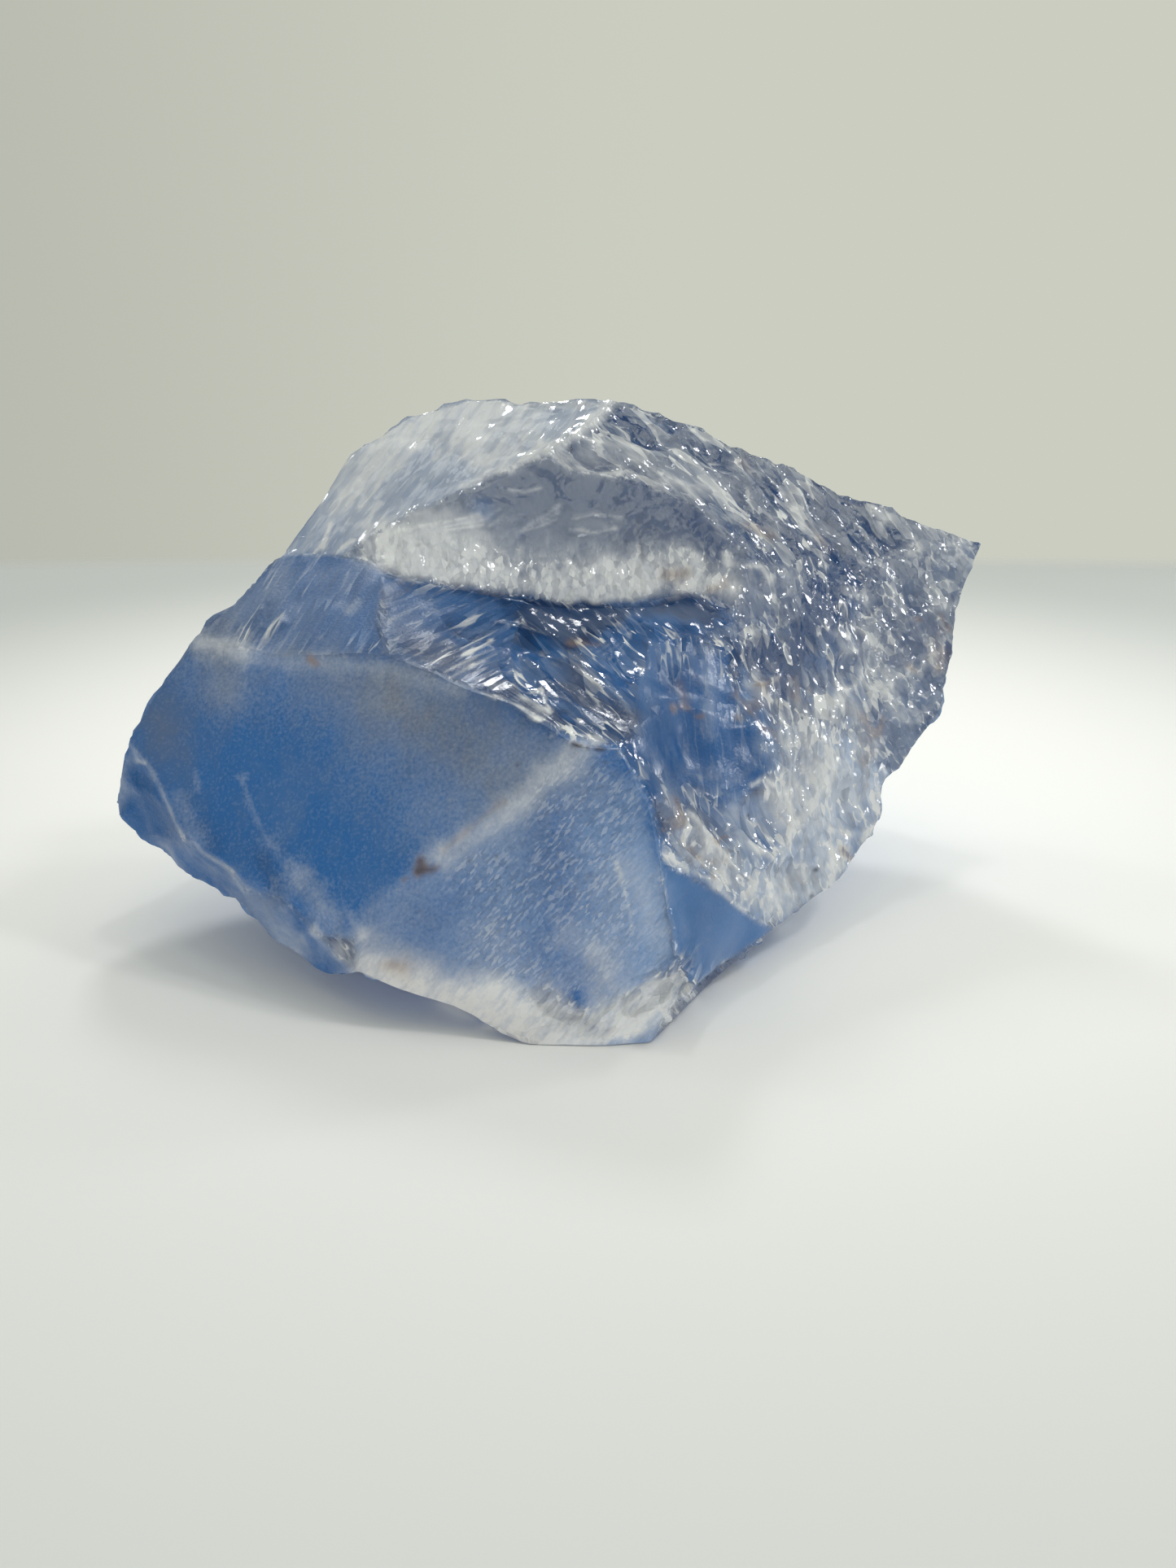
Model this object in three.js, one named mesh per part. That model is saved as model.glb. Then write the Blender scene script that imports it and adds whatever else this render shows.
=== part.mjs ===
// A rough piece of dumortierite quartz, about 33 mm long, 22 mm deep and 18 mm tall.
//
// It is one broken crystal lump. A frosted pane and a grainy lower front meet at a slanting ridge.
// Above the pane lie a striated shelf, a feathered hollow under a sharp crest, and a glassy window
// behind the crest. The whole right side is hackly: lumps, ledges and scoops out to a beak.
// The back is plain broken faces, and the stone rests on one flat face.
//
// Units are millimetres. +Z is up, X runs along the stone, and the frosted front looks along -Y.
// The origin is the middle of the stone's bounding box, on the surface that it rests on.

import * as THREE from "three";

// ---------------------------------------------------------------- driving sizes

const FINE_STEP = 0.72; // longest mesh edge on the worked front and right, mm
const PANE_STEP = 1.2; // longest mesh edge on the flat frosted faces
const BACK_STEP = 1.3; // longest mesh edge on the plain back and underside
const FLIP_PASSES = 6; // rounds of edge turning that even out the triangles
const EASE_PASSES = 4; // rounds of smoothing inside each face
const FLOOR_CLEARANCE = 0.12; // least height of anything but the rest face
const CHIP_SIZE = 1.1; // spacing of the small chips along the edges
const EDGE_CHIPPING = 0.1; // how far the chips move an edge

// The corners of the broken faces.
const CORNERS = {
  // frosted pane
  pane_shoulder: [-13.2, -0.5, 10.3],
  pane_left: [-15.5, -1.9, 6.9],
  pane_rim_a: [-10.8, -1.8, 9.9],
  pane_rim_b: [-5.5, -3.8, 10.3],
  pane_rim_c: [-2.4, -5.7, 9.5],
  pane_rim_d: [-0.9, -6.7, 9.1],
  pane_low_a: [-13, -4.8, 4.5],
  pane_low_b: [-11, -6.2, 3.7],
  // slanting ridge between the pane and the lower front
  ridge_head: [0.5, -7.7, 8.5],
  ridge_foot: [-6.6, -8.7, 2.8],
  // lower front
  front_right_a: [1.6, -7.9, 8.4],
  front_right_b: [2.5, -8.6, 6.9],
  front_right_c: [2.9, -9.3, 5.2],
  front_right_d: [3.2, -10.2, 2.8],
  front_right_e: [3.8, -10.7, 1.9],
  tip_right: [2.6, -10.7, 0],
  tip_front: [1, -10.9, 0],
  tip_left: [-1.1, -10.8, 0],
  hem_a: [-3.4, -10, 0.7],
  hem_b: [-6.3, -9.3, 1.5],
  // toe at the left
  toe_out: [-16.4, -1.8, 4.4],
  toe_a: [-16, -2, 3.6],
  toe_b: [-14.1, -3, 2.6],
  toe_c: [-11.6, -4.7, 2],
  toe_d: [-9.6, -6.6, 1.2],
  toe_e: [-7.8, -7.9, 0.8],
  // striated shelf and crown
  shelf_left: [-10.7, 2.8, 12.6],
  shelf_right: [-7.8, 2.1, 12.6],
  crown_a: [-8.5, 6.1, 16],
  crown_b: [-6.4, 7.4, 17.3],
  crown_c: [-4.1, 8.1, 17.8],
  crown_peak: [1.8, 8, 17.9],
  // sharp crest, and the valley behind it
  crest_start: [-6.7, 1, 12.1],
  crest_a: [-4.7, 0.4, 11.8],
  crest_b: [-1.7, -0.2, 11.5],
  crest_c: [1.1, -0.3, 11.3],
  crest_d: [3.1, 0.1, 11.3],
  crest_e: [4.4, 0.8, 11.5],
  crest_end: [5.6, 0.5, 10.5],
  valley_a: [-3, 1.7, 10.9],
  valley_b: [0.9, 1.5, 10.4],
  valley_c: [4.9, 2, 10.5],
  // upper edge of the glassy window
  window_peak: [-0.6, 4.9, 16.3],
  window_a: [1.6, 4.9, 15.3],
  window_b: [4.8, 4.5, 14.2],
  window_c: [7, 3.5, 12.2],
  window_d: [8.8, 2.8, 11.3],
  // hackly slope down to the beak
  slope_a: [5.3, 8.4, 16.7],
  slope_b: [8.5, 8.1, 15.4],
  slope_c: [11.9, 7.4, 14.1],
  slope_d: [14.2, 6.5, 13.2],
  beak: [16.4, 5.9, 12.5],
  // hollow between the crest and the pane
  scoop_a: [-3.9, -1.1, 10.3],
  scoop_b: [-0.5, -2.3, 9.9],
  scoop_c: [2.6, -2, 9.9],
  // right flank, three rows from the top down
  flank_top_a: [5.5, -0.6, 9.7],
  flank_top_b: [9, 1.2, 9.6],
  flank_top_c: [12.5, 3.2, 9.7],
  flank_mid_a: [2.7, -5.2, 8.7],
  flank_mid_b: [5, -3.4, 8.1],
  flank_mid_c: [7.6, -1.8, 7.6],
  flank_mid_d: [10.8, 0.1, 7.1],
  flank_low_a: [4.6, -6.2, 6.1],
  flank_low_b: [6.7, -4.1, 6],
  flank_low_c: [9.3, -2.3, 4.9],
  skirt_a: [4.9, -7.3, 3.7],
  skirt_b: [7.3, -5.1, 3.4],
  // right outline, from the beak down to the tip
  side_a: [15.3, 4.7, 10.2],
  side_b: [15, 3.6, 8.2],
  side_c: [14.2, 2.3, 6.4],
  side_d: [12.7, 0.9, 5.1],
  side_e: [11.8, 0, 4.4],
  side_f: [11.7, -0.7, 3.4],
  side_g: [9.7, -2.9, 1.9],
  side_h: [7.6, -4.7, 1.1],
  side_i: [5.6, -6.8, 0.8],
  // back, half way up
  back_a: [-15.1, 0.6, 4.6],
  back_b: [-12.8, 4, 6.5],
  back_c: [-5.5, 9.8, 9.2],
  back_d: [3.8, 11, 8.5],
  back_e: [11.9, 9.4, 7.7],
  // rest face
  foot_a: [-6.8, -5.4, 0],
  foot_b: [-9.3, -0.2, 0],
  foot_c: [-5.5, 6, 0],
  foot_d: [3.8, 7.1, 0],
  foot_e: [8.8, 3.3, 0],
  foot_f: [7.8, -2.4, 0],
  foot_g: [4.5, -7.5, 0],
};

// The broken faces: finish, then corners counter-clockwise as seen from outside.
const FACES = [
  [
    "frosted",
    "pane_shoulder pane_left pane_low_a pane_low_b ridge_foot ridge_head pane_rim_d pane_rim_c " +
    "pane_rim_b pane_rim_a",
  ],
  [
    "grainy",
    "ridge_head ridge_foot hem_b hem_a tip_left tip_front tip_right front_right_e front_right_d " +
    "front_right_c front_right_b front_right_a",
  ],
  ["chipped", "pane_left toe_out toe_a toe_b toe_c pane_low_b pane_low_a"],
  ["chipped", "pane_low_b toe_c toe_d toe_e hem_b ridge_foot"],
  ["striated", "pane_shoulder pane_rim_a pane_rim_b crest_start shelf_right shelf_left"],
  ["streaked", "shelf_left shelf_right window_peak crown_peak crown_c crown_b crown_a"],
  [
    "glassy",
    "shelf_right crest_start valley_a valley_b valley_c window_d window_c window_b window_a " +
    "window_peak",
  ],
  [
    "glassy",
    "crest_start crest_a crest_b crest_c crest_d crest_e crest_end valley_c valley_b valley_a",
  ],
  [
    "feathered",
    "crest_start scoop_a scoop_b scoop_c crest_end crest_e crest_d crest_c crest_b crest_a",
  ],
  [
    "feathered",
    "pane_rim_b pane_rim_c pane_rim_d ridge_head front_right_a flank_mid_a scoop_c scoop_b " +
    "scoop_a crest_start",
  ],
  [
    "hackly",
    "window_peak window_a window_b window_c window_d flank_top_b flank_top_c side_a beak " +
    "slope_d slope_c slope_b slope_a crown_peak",
  ],
  ["hackly", "crest_end flank_top_a flank_top_b window_d valley_c"],
  ["hackly", "scoop_c flank_mid_a flank_mid_b flank_top_a crest_end"],
  ["hackly", "flank_top_a flank_mid_b flank_mid_c flank_top_b"],
  ["hackly", "flank_top_b flank_mid_c flank_mid_d flank_top_c"],
  ["hackly", "flank_top_c flank_mid_d side_c side_b side_a"],
  ["glassy", "front_right_a front_right_b flank_low_a flank_mid_b flank_mid_a"],
  ["chipped", "flank_mid_b flank_low_a flank_low_b flank_mid_c"],
  ["hackly", "flank_mid_c flank_low_b flank_low_c flank_mid_d"],
  ["hackly", "flank_mid_d flank_low_c side_f side_e side_d side_c"],
  ["chipped", "flank_low_a skirt_a skirt_b flank_low_c flank_low_b"],
  ["chipped", "skirt_b side_h side_g side_f flank_low_c"],
  ["glassy", "front_right_c front_right_d front_right_e side_i side_h skirt_b skirt_a"],
  ["chipped", "front_right_b front_right_c skirt_a flank_low_a"],
  ["broken", "toe_a toe_out back_a foot_b"],
  ["broken", "pane_shoulder back_a toe_out pane_left"],
  ["broken", "pane_shoulder shelf_left back_b back_a"],
  ["broken", "toe_b toe_a foot_b foot_a"],
  ["broken", "toe_c toe_b foot_a"],
  ["broken", "hem_b toe_e toe_d toe_c foot_a"],
  ["broken", "tip_left hem_a hem_b foot_a"],
  ["rest", "tip_front tip_left foot_a foot_b foot_c foot_d foot_e foot_f foot_g tip_right"],
  ["broken", "tip_right foot_g side_i front_right_e"],
  ["broken", "foot_g foot_f side_h side_i"],
  ["broken", "foot_f foot_e side_f side_g side_h"],
  ["broken", "foot_e back_e side_c side_d side_e side_f"],
  ["broken", "side_c back_e beak side_a side_b"],
  ["broken", "shelf_left crown_a back_b"],
  ["broken", "crown_a crown_b crown_c back_c back_b"],
  ["broken", "crown_c crown_peak slope_a back_d back_c"],
  ["broken", "slope_a slope_b slope_c slope_d back_e back_d"],
  ["broken", "slope_d beak back_e"],
  ["broken", "back_a back_b foot_c foot_b"],
  ["broken", "back_b back_c foot_c"],
  ["broken", "back_c back_d foot_d foot_c"],
  ["broken", "back_d back_e foot_e foot_d"],
];

// Shell-shaped hollows left by flakes: middle, radius and depth.
const SCOOPS = [
  { name: "window bowl", at: [0.6, 3.2, 13.2], radius: 5.2, depth: 0.55 },
  { name: "flank bowl", at: [4.1, -5.0, 7.3], radius: 1.9, depth: 0.55 },
  { name: "round flake", at: [5.9, -5.1, 5.0], radius: 1.15, depth: 0.35 },
  { name: "tip flake left", at: [-0.3, -10.8, 0.9], radius: 1.1, depth: 0.25 },
  { name: "tip flake right", at: [2.6, -10.6, 1.2], radius: 1.2, depth: 0.3 },
  { name: "back hollow", at: [-2.0, 10.5, 8.0], radius: 5.5, depth: 0.9 },
  { name: "back right hollow", at: [9.0, 9.8, 10.0], radius: 4.2, depth: 0.7 },
  { name: "heel hollow", at: [-11.0, 3.5, 4.5], radius: 3.4, depth: 0.5 },
];

// ---------------------------------------------------------------- relief

/** A fixed number from 0 to 1 for a lattice point. */
function lattice(i, j, k) {
  const s = Math.sin(i * 127.1 + j * 311.7 + k * 74.7) * 43758.5453;
  return s - Math.floor(s);
}

/** Smooth noise from -1 to 1 that changes over about one wavelength. */
function wave(p, wavelength) {
  const x = p.x / wavelength;
  const y = p.y / wavelength;
  const z = p.z / wavelength;
  const i = Math.floor(x);
  const j = Math.floor(y);
  const k = Math.floor(z);
  const ease = (t) => t * t * (3 - 2 * t);
  const fx = ease(x - i);
  const fy = ease(y - j);
  const fz = ease(z - k);
  let sum = 0;
  for (const a of [0, 1])
    for (const b of [0, 1])
      for (const c of [0, 1]) {
        const weight = (a ? fx : 1 - fx) * (b ? fy : 1 - fy) * (c ? fz : 1 - fz);
        sum += weight * lattice(i + a, j + b, k + c);
      }
  return 2 * sum - 1;
}

/** Small bowls that meet in sharp ridges, about -0.4 in a bowl and 0.6 on a ridge. */
function scallops(p, size) {
  const x = p.x / size;
  const y = p.y / size;
  const z = p.z / size;
  const i = Math.floor(x);
  const j = Math.floor(y);
  const k = Math.floor(z);
  let nearest = Infinity;
  for (let a = -1; a <= 1; a++)
    for (let b = -1; b <= 1; b++)
      for (let c = -1; c <= 1; c++) {
        const dx = i + a + lattice(i + a, j + b, k + c) - x;
        const dy = j + b + lattice(j + b, k + c, i + a) - y;
        const dz = k + c + lattice(k + c, i + a, j + b) - z;
        nearest = Math.min(nearest, dx * dx + dy * dy + dz * dz);
      }
  return Math.min(nearest, 1) - 0.4;
}

/** Ridges that run along a direction: the point, squeezed along it, reads the scallops. */
function along(p, direction, stretch) {
  const shift = p.dot(direction) * (1 - 1 / stretch);
  return p.clone().addScaledVector(direction, -shift);
}

const STRIAE = new THREE.Vector3(0.35, 0.7, 0.62).normalize(); // growth lines on shelf and crown
const FEATHERS = new THREE.Vector3(0.75, -0.6, -0.28).normalize(); // tear lines in the hollow
const FLANK_GRAIN = new THREE.Vector3(0.25, -0.5, -0.83).normalize(); // hackles on the flank

// How far each finish stands off its flat face at a point, mm.
const RELIEF = {
  frosted: (p) => 0.05 * wave(p, 4),
  grainy: (p) => 0.07 * wave(p, 2.6),
  chipped: (p) => 0.3 * scallops(p, 1.9),
  striated: (p) => 0.16 * scallops(along(p, STRIAE, 5), 1.5),
  streaked: (p) => 0.22 * scallops(along(p, STRIAE, 4), 1.9),
  glassy: (p) => 0.08 * wave(p, 3),
  feathered: (p) => 0.36 * scallops(along(p, FEATHERS, 3), 1.5),
  hackly: (p) => 0.55 * scallops(along(p, FLANK_GRAIN, 1.6), 1.5) + 0.22 * scallops(p, 0.9),
  broken: (p) => 0.5 * scallops(p, 4.5) + 0.2 * scallops(p, 1.9),
  rest: () => 0,
};

const STEP = { frosted: PANE_STEP, grainy: PANE_STEP, broken: BACK_STEP, rest: 2 * BACK_STEP };

/** How deep the scoops cut at a point. */
function scoopDepth(p) {
  let depth = 0;
  for (const { at, radius, depth: most } of SCOOPS) {
    const share = p.distanceTo(new THREE.Vector3(...at)) / radius;
    if (share < 1) depth += most * (1 - share * share);
  }
  return depth;
}

// ---------------------------------------------------------------- mesh

/** The faces as triangles {v: three point indices, face: its number}, and the points. */
function cage() {
  const names = Object.keys(CORNERS);
  const points = names.map((name) => new THREE.Vector3(...CORNERS[name]));
  const triangles = [];
  FACES.forEach(([, list], face) => {
    const loop = list.split(" ").map((name) => names.indexOf(name));
    const normal = loopNormal(loop.map((i) => points[i]));
    const across = new THREE.Vector3(0.3, 0.5, 0.8).cross(normal).normalize();
    const upward = normal.clone().cross(across);
    const flat = loop.map((i) => new THREE.Vector2(points[i].dot(across), points[i].dot(upward)));
    for (const [a, b, c] of THREE.ShapeUtils.triangulateShape(flat, [])) {
      const turn = flat[b].clone().sub(flat[a]).cross(flat[c].clone().sub(flat[a]));
      triangles.push({ v: turn > 0 ? [loop[a], loop[b], loop[c]] : [loop[a], loop[c], loop[b]], face });
    }
  });
  return { points, triangles };
}

/** The mean outward direction of a closed loop of points. */
function loopNormal(loop) {
  const sum = new THREE.Vector3();
  loop.forEach((p, i) => sum.add(p.clone().cross(loop[(i + 1) % loop.length])));
  return sum.normalize();
}

const edgeKey = (a, b) => (a < b ? a + "_" + b : b + "_" + a);

/** Splits every edge that is longer than its faces allow, so that neighbours still share their points. */
function refine({ points, triangles }) {
  for (;;) {
    const longest = new Map(); // the step that each edge's finest face asks for
    for (const { v, face } of triangles)
      for (let i = 0; i < 3; i++) {
        const key = edgeKey(v[i], v[(i + 1) % 3]);
        const step = STEP[FACES[face][0]] ?? FINE_STEP;
        longest.set(key, Math.min(step, longest.get(key) ?? Infinity));
      }
    const middles = new Map();
    const middle = (a, b) => {
      const key = edgeKey(a, b);
      if (points[a].distanceTo(points[b]) <= longest.get(key)) return -1;
      if (!middles.has(key)) middles.set(key, points.push(points[a].clone().lerp(points[b], 0.5)) - 1);
      return middles.get(key);
    };
    const next = [];
    for (const { v, face } of triangles) {
      const m = [middle(v[0], v[1]), middle(v[1], v[2]), middle(v[2], v[0])];
      const cuts = m.filter((i) => i >= 0).length;
      const add = (...list) => list.forEach((w) => next.push({ v: w, face }));
      if (cuts === 0) {
        add(v);
      } else if (cuts === 3) {
        add([v[0], m[0], m[2]], [v[1], m[1], m[0]], [v[2], m[2], m[1]], m);
      } else if (cuts === 1) {
        const i = m.findIndex((n) => n >= 0);
        add([v[i], m[i], v[(i + 2) % 3]], [m[i], v[(i + 1) % 3], v[(i + 2) % 3]]);
      } else {
        const i = (m.findIndex((n) => n < 0) + 1) % 3; // edges i and i + 1 are cut
        const [a, b, c] = [v[i], v[(i + 1) % 3], v[(i + 2) % 3]];
        const [p, q] = [m[i], m[(i + 1) % 3]];
        add([b, q, p]);
        if (points[a].distanceTo(points[q]) < points[p].distanceTo(points[c])) add([a, p, q], [a, q, c]);
        else add([a, p, c], [p, q, c]);
      }
    }
    if (next.length === triangles.length) return { points, triangles };
    triangles = next;
    evenOut(points, triangles);
  }
}

/** Turns edges inside each face where that widens the narrowest corners, then eases the inner points. */
function evenOut(points, triangles) {
  for (let pass = 0; pass < FLIP_PASSES; pass++) {
    const sides = new Map();
    triangles.forEach(({ v }, t) => {
      for (let i = 0; i < 3; i++) sides.set(v[i] + ">" + v[(i + 1) % 3], [t, v[(i + 2) % 3]]);
    });
    const touched = new Set();
    let flips = 0;
    triangles.forEach((one, t) => {
      for (let i = 0; i < 3 && !touched.has(t); i++) {
        const [a, b, c] = [one.v[i], one.v[(i + 1) % 3], one.v[(i + 2) % 3]];
        const [u, d] = sides.get(b + ">" + a);
        if (touched.has(u) || triangles[u].face !== one.face) continue;
        if (sides.has(c + ">" + d) || sides.has(d + ">" + c)) continue;
        if (cornerAngle(points, a, c, b) + cornerAngle(points, a, d, b) <= Math.PI + 1e-6) continue;
        one.v = [c, a, d];
        triangles[u].v = [d, b, c];
        touched.add(t).add(u);
        flips++;
      }
    });
    if (!flips) break;
  }
  const faces = new Map();
  const neighbours = new Map();
  for (const { v, face } of triangles)
    for (let i = 0; i < 3; i++) {
      if (!faces.has(v[i])) {
        faces.set(v[i], new Set());
        neighbours.set(v[i], new Set());
      }
      faces.get(v[i]).add(face);
      neighbours.get(v[i]).add(v[(i + 1) % 3]).add(v[(i + 2) % 3]);
    }
  for (let pass = 0; pass < EASE_PASSES; pass++)
    for (const [i, near] of neighbours) {
      if (faces.get(i).size > 1) continue;
      const mean = new THREE.Vector3();
      for (const n of near) mean.add(points[n]);
      points[i].copy(mean.divideScalar(near.size));
    }
}

/** The angle at point b of the corner a, b, c. */
function cornerAngle(points, a, b, c) {
  return points[a].clone().sub(points[b]).angleTo(points[c].clone().sub(points[b]));
}

/** Carves the finish of each face, the scoops and the chipped edges into the points. */
function carve({ points, triangles }) {
  const push = points.map(() => new THREE.Vector3());
  const facing = points.map(() => new THREE.Vector3());
  const count = points.map(() => 0);
  const resting = points.map(() => false);
  for (const { v, face } of triangles) {
    const finish = FACES[face][0];
    const [a, b, c] = v.map((i) => points[i]);
    const normal = b.clone().sub(a).cross(c.clone().sub(a)).normalize();
    for (const i of v) {
      push[i].addScaledVector(normal, RELIEF[finish](points[i]));
      facing[i].add(normal);
      count[i]++;
      if (finish === "rest") resting[i] = true;
    }
  }
  return points.map((p, i) => {
    if (resting[i]) return p;
    const chip = new THREE.Vector3(...[0, 40, 80].map((shift) => wave(p.clone().addScalar(shift), CHIP_SIZE)));
    const moved = p
      .clone()
      .addScaledVector(push[i], 1 / count[i])
      .addScaledVector(chip, EDGE_CHIPPING)
      .addScaledVector(facing[i].normalize(), -scoopDepth(p));
    moved.z = Math.max(moved.z, FLOOR_CLEARANCE);
    return moved;
  });
}

/** The finished mesh, with its origin under the middle of the bounding box. */
function stoneGeometry() {
  const mesh = refine(cage());
  const points = carve(mesh);
  const geometry = new THREE.BufferGeometry();
  const numbers = points.flatMap((p) => p.toArray());
  geometry.setAttribute("position", new THREE.Float32BufferAttribute(numbers, 3));
  geometry.setIndex(mesh.triangles.flatMap(({ v }) => v));
  geometry.computeBoundingBox();
  const middle = geometry.boundingBox.getCenter(new THREE.Vector3());
  geometry.translate(-middle.x, -middle.y, -geometry.boundingBox.min.z);
  return geometry;
}

const quartz = new THREE.MeshStandardMaterial({ color: 0x7f97bd, roughness: 0.3, metalness: 0 });

const stone = new THREE.Mesh(stoneGeometry(), quartz);
stone.name = "dumortierite_stone";

const group = new THREE.Group();
group.add(stone);

export default group;
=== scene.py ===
"""Looks of a rough piece of blue dumortierite quartz.

The stone's surface is a refined copy of its solid: creased at the broken edges, then carved with
the frosting, growth lines, feathered fracture, ripples, chips and hackles of each broken face.
Soft masks painted over the surface say where the quartz is clouded blue, milky, smoky, stained or
clear, and where highlights, glints and shade are painted on; one procedural material reads them.

Lengths are metres where a name does not say otherwise. Outlines and strokes on the stone's front
are points of the camera's picture plane, u to the right and v down, in a frame of 1445 by 1927.
"""

import logging
import math
from dataclasses import dataclass, field
from enum import Enum

import bpy
import numpy as np
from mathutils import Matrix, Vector

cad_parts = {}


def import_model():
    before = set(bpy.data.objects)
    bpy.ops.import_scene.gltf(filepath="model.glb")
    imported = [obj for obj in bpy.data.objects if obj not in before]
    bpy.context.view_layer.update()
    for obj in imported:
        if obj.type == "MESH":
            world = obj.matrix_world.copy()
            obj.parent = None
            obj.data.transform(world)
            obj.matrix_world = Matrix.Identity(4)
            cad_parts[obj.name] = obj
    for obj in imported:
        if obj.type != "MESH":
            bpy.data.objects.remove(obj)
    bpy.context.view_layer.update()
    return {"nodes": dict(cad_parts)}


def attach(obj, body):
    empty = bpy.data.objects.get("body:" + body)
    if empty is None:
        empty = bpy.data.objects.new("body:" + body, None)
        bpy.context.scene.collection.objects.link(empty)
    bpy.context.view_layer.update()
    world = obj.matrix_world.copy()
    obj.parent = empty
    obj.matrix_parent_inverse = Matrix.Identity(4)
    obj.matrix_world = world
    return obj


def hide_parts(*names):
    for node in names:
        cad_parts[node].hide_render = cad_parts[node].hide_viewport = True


log = logging.getLogger("stone")

MM = 0.001
# the picture plane's frame, and how many of its units a millimetre of the stone takes up
FRAME_WIDTH = 1445
FRAME_HEIGHT = 1927
UNITS_PER_MM = 38.0
# the depth of a flake whose rim gets the full painted highlight and shade, millimetres, and the rim's half
# width, picture units
DEEP_FLAKE = 0.3
RIM_WIDTH = 4.0
# farther than any point, and a length that is still more than nothing
FAR = 1e9
TINY = 1e-9
# scrambles a lattice cell into a number that looks like chance
HASH_AXES = np.array([127.1, 311.7, 74.7])
HASH_SEED = 19.19
HASH_GAIN = 43758.5453
# taken off the noise of bowls, so that it is about 0 on average
BOWL_MEAN = 0.3
# the name that the stone's solid has in the model
STONE_NODE = "dumortierite_stone"

Point = tuple[float, float]
Outline = tuple[Point, ...]
Colour = tuple[float, float, float]


def linear(red: int, green: int, blue: int) -> Colour:
    """Turns a display colour into scene-linear light.

    Args:
        red: its red, 0 to 255.
        green: its green, 0 to 255.
        blue: its blue, 0 to 255.

    Returns:
        The linear colour.
    """

    def channel(value: int) -> float:
        """One channel, by the display curve."""
        share = value / 255
        return share / 12.92 if share <= 0.04045 else ((share + 0.055) / 1.055) ** 2.4

    return channel(red), channel(green), channel(blue)


# ---------------------------------------------------------------- camera and picture plane


@dataclass(frozen=True)
class Camera:
    """The camera that looks down at the stone's front.

    Args:
        place: where the camera stands.
        tilt_down: how far it looks below level, degrees.
        lens_mm: its focal length.
        sensor_mm: the long side of its sensor.
    """

    place: tuple[float, float, float] = (0.66 * MM, -41.5 * MM, 19.5 * MM)
    tilt_down: float = 20.0
    lens_mm: float = 27.0
    sensor_mm: float = 36.0

    def build(self) -> None:
        """Adds the camera and makes it the scene's own."""
        data = bpy.data.cameras.new("stone_camera")
        data.lens = self.lens_mm
        data.sensor_width = self.sensor_mm
        data.clip_start = 1 * MM
        data.clip_end = 10.0
        camera = bpy.data.objects.new("stone_camera", data)
        camera.location = self.place
        camera.rotation_euler = (math.radians(90 - self.tilt_down), 0, 0)
        bpy.context.scene.collection.objects.link(camera)
        bpy.context.scene.camera = camera

    def picture(self, points: np.ndarray) -> tuple[np.ndarray, np.ndarray]:
        """Where points show in the picture plane.

        Args:
            points: places, one per row, in metres.

        Returns:
            Their u and v.
        """
        down = math.radians(self.tilt_down)
        forward = np.array([0, math.cos(down), -math.sin(down)])
        upward = np.array([0, math.sin(down), math.cos(down)])
        ray = points - np.array(self.place)
        focal = self.lens_mm / self.sensor_mm * FRAME_HEIGHT
        away = ray @ forward
        return FRAME_WIDTH / 2 + focal * ray[:, 0] / away, FRAME_HEIGHT / 2 - focal * (ray @ upward) / away


# ---------------------------------------------------------------- noise


class Noise:
    """Fixed noise over points given in millimetres. It draws nothing at random."""

    @staticmethod
    def _chance(cell: np.ndarray, seed: float) -> np.ndarray:
        """A fixed number from 0 to 1 for each lattice cell."""
        value = np.sin(cell @ HASH_AXES + seed * HASH_SEED) * HASH_GAIN
        return value - np.floor(value)

    @classmethod
    def wave(cls, points: np.ndarray, size: float, seed: float = 0.0) -> np.ndarray:
        """Smooth noise from -1 to 1.

        Args:
            points: places, one per row, in millimetres.
            size: how far apart its hills are.
            seed: picks another pattern.

        Returns:
            One value per point.
        """
        scaled = points / size
        cell = np.floor(scaled)
        part = scaled - cell
        part = part * part * (3 - 2 * part)
        total = np.zeros(len(points))
        for corner in np.ndindex(2, 2, 2):
            weight = np.prod(np.where(corner, part, 1 - part), axis=1)
            total += weight * cls._chance(cell + corner, seed)
        return 2 * total - 1

    @classmethod
    def scallops(cls, points: np.ndarray, size: float, seed: float = 0.0) -> np.ndarray:
        """Bowls that meet in sharp ridges: about -0.3 in the middle of a bowl, up to 0.7 on a ridge.

        Args:
            points: places, one per row, in millimetres.
            size: about how wide a bowl is.
            seed: picks another pattern.

        Returns:
            One value per point.
        """
        scaled = points / size
        cell = np.floor(scaled)
        nearest = np.full(len(points), FAR)
        for step in np.ndindex(3, 3, 3):
            at = cell + np.array(step) - 1
            spot = np.stack([cls._chance(at, seed + k) for k in (1.0, 2.0, 3.0)], axis=1)
            gap = at + spot - scaled
            nearest = np.minimum(nearest, np.einsum("ij,ij->i", gap, gap))
        return np.minimum(nearest, 1.0) - BOWL_MEAN


def smooth(value: np.ndarray, low: float, high: float) -> np.ndarray:
    """0 below low, 1 above high, and an even curve between."""
    part = np.clip((value - low) / (high - low), 0, 1)
    return part * part * (3 - 2 * part)


def distance_to_path(u: np.ndarray, v: np.ndarray, path: Outline) -> np.ndarray:
    """How far points of the picture plane lie from a path.

    Args:
        u: how far right each point lies.
        v: how far down each point lies.
        path: the corners of straight stretches, or one point.

    Returns:
        One distance per point, in picture units.
    """
    nearest = np.full(len(u), FAR)
    for (u0, v0), (u1, v1) in zip(path, path[1:] or path):
        du, dv = u1 - u0, v1 - v0
        length = max(du * du + dv * dv, TINY)
        part = np.clip(((u - u0) * du + (v - v0) * dv) / length, 0, 1)
        nearest = np.minimum(nearest, np.hypot(u - u0 - part * du, v - v0 - part * dv))
    return nearest


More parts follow.
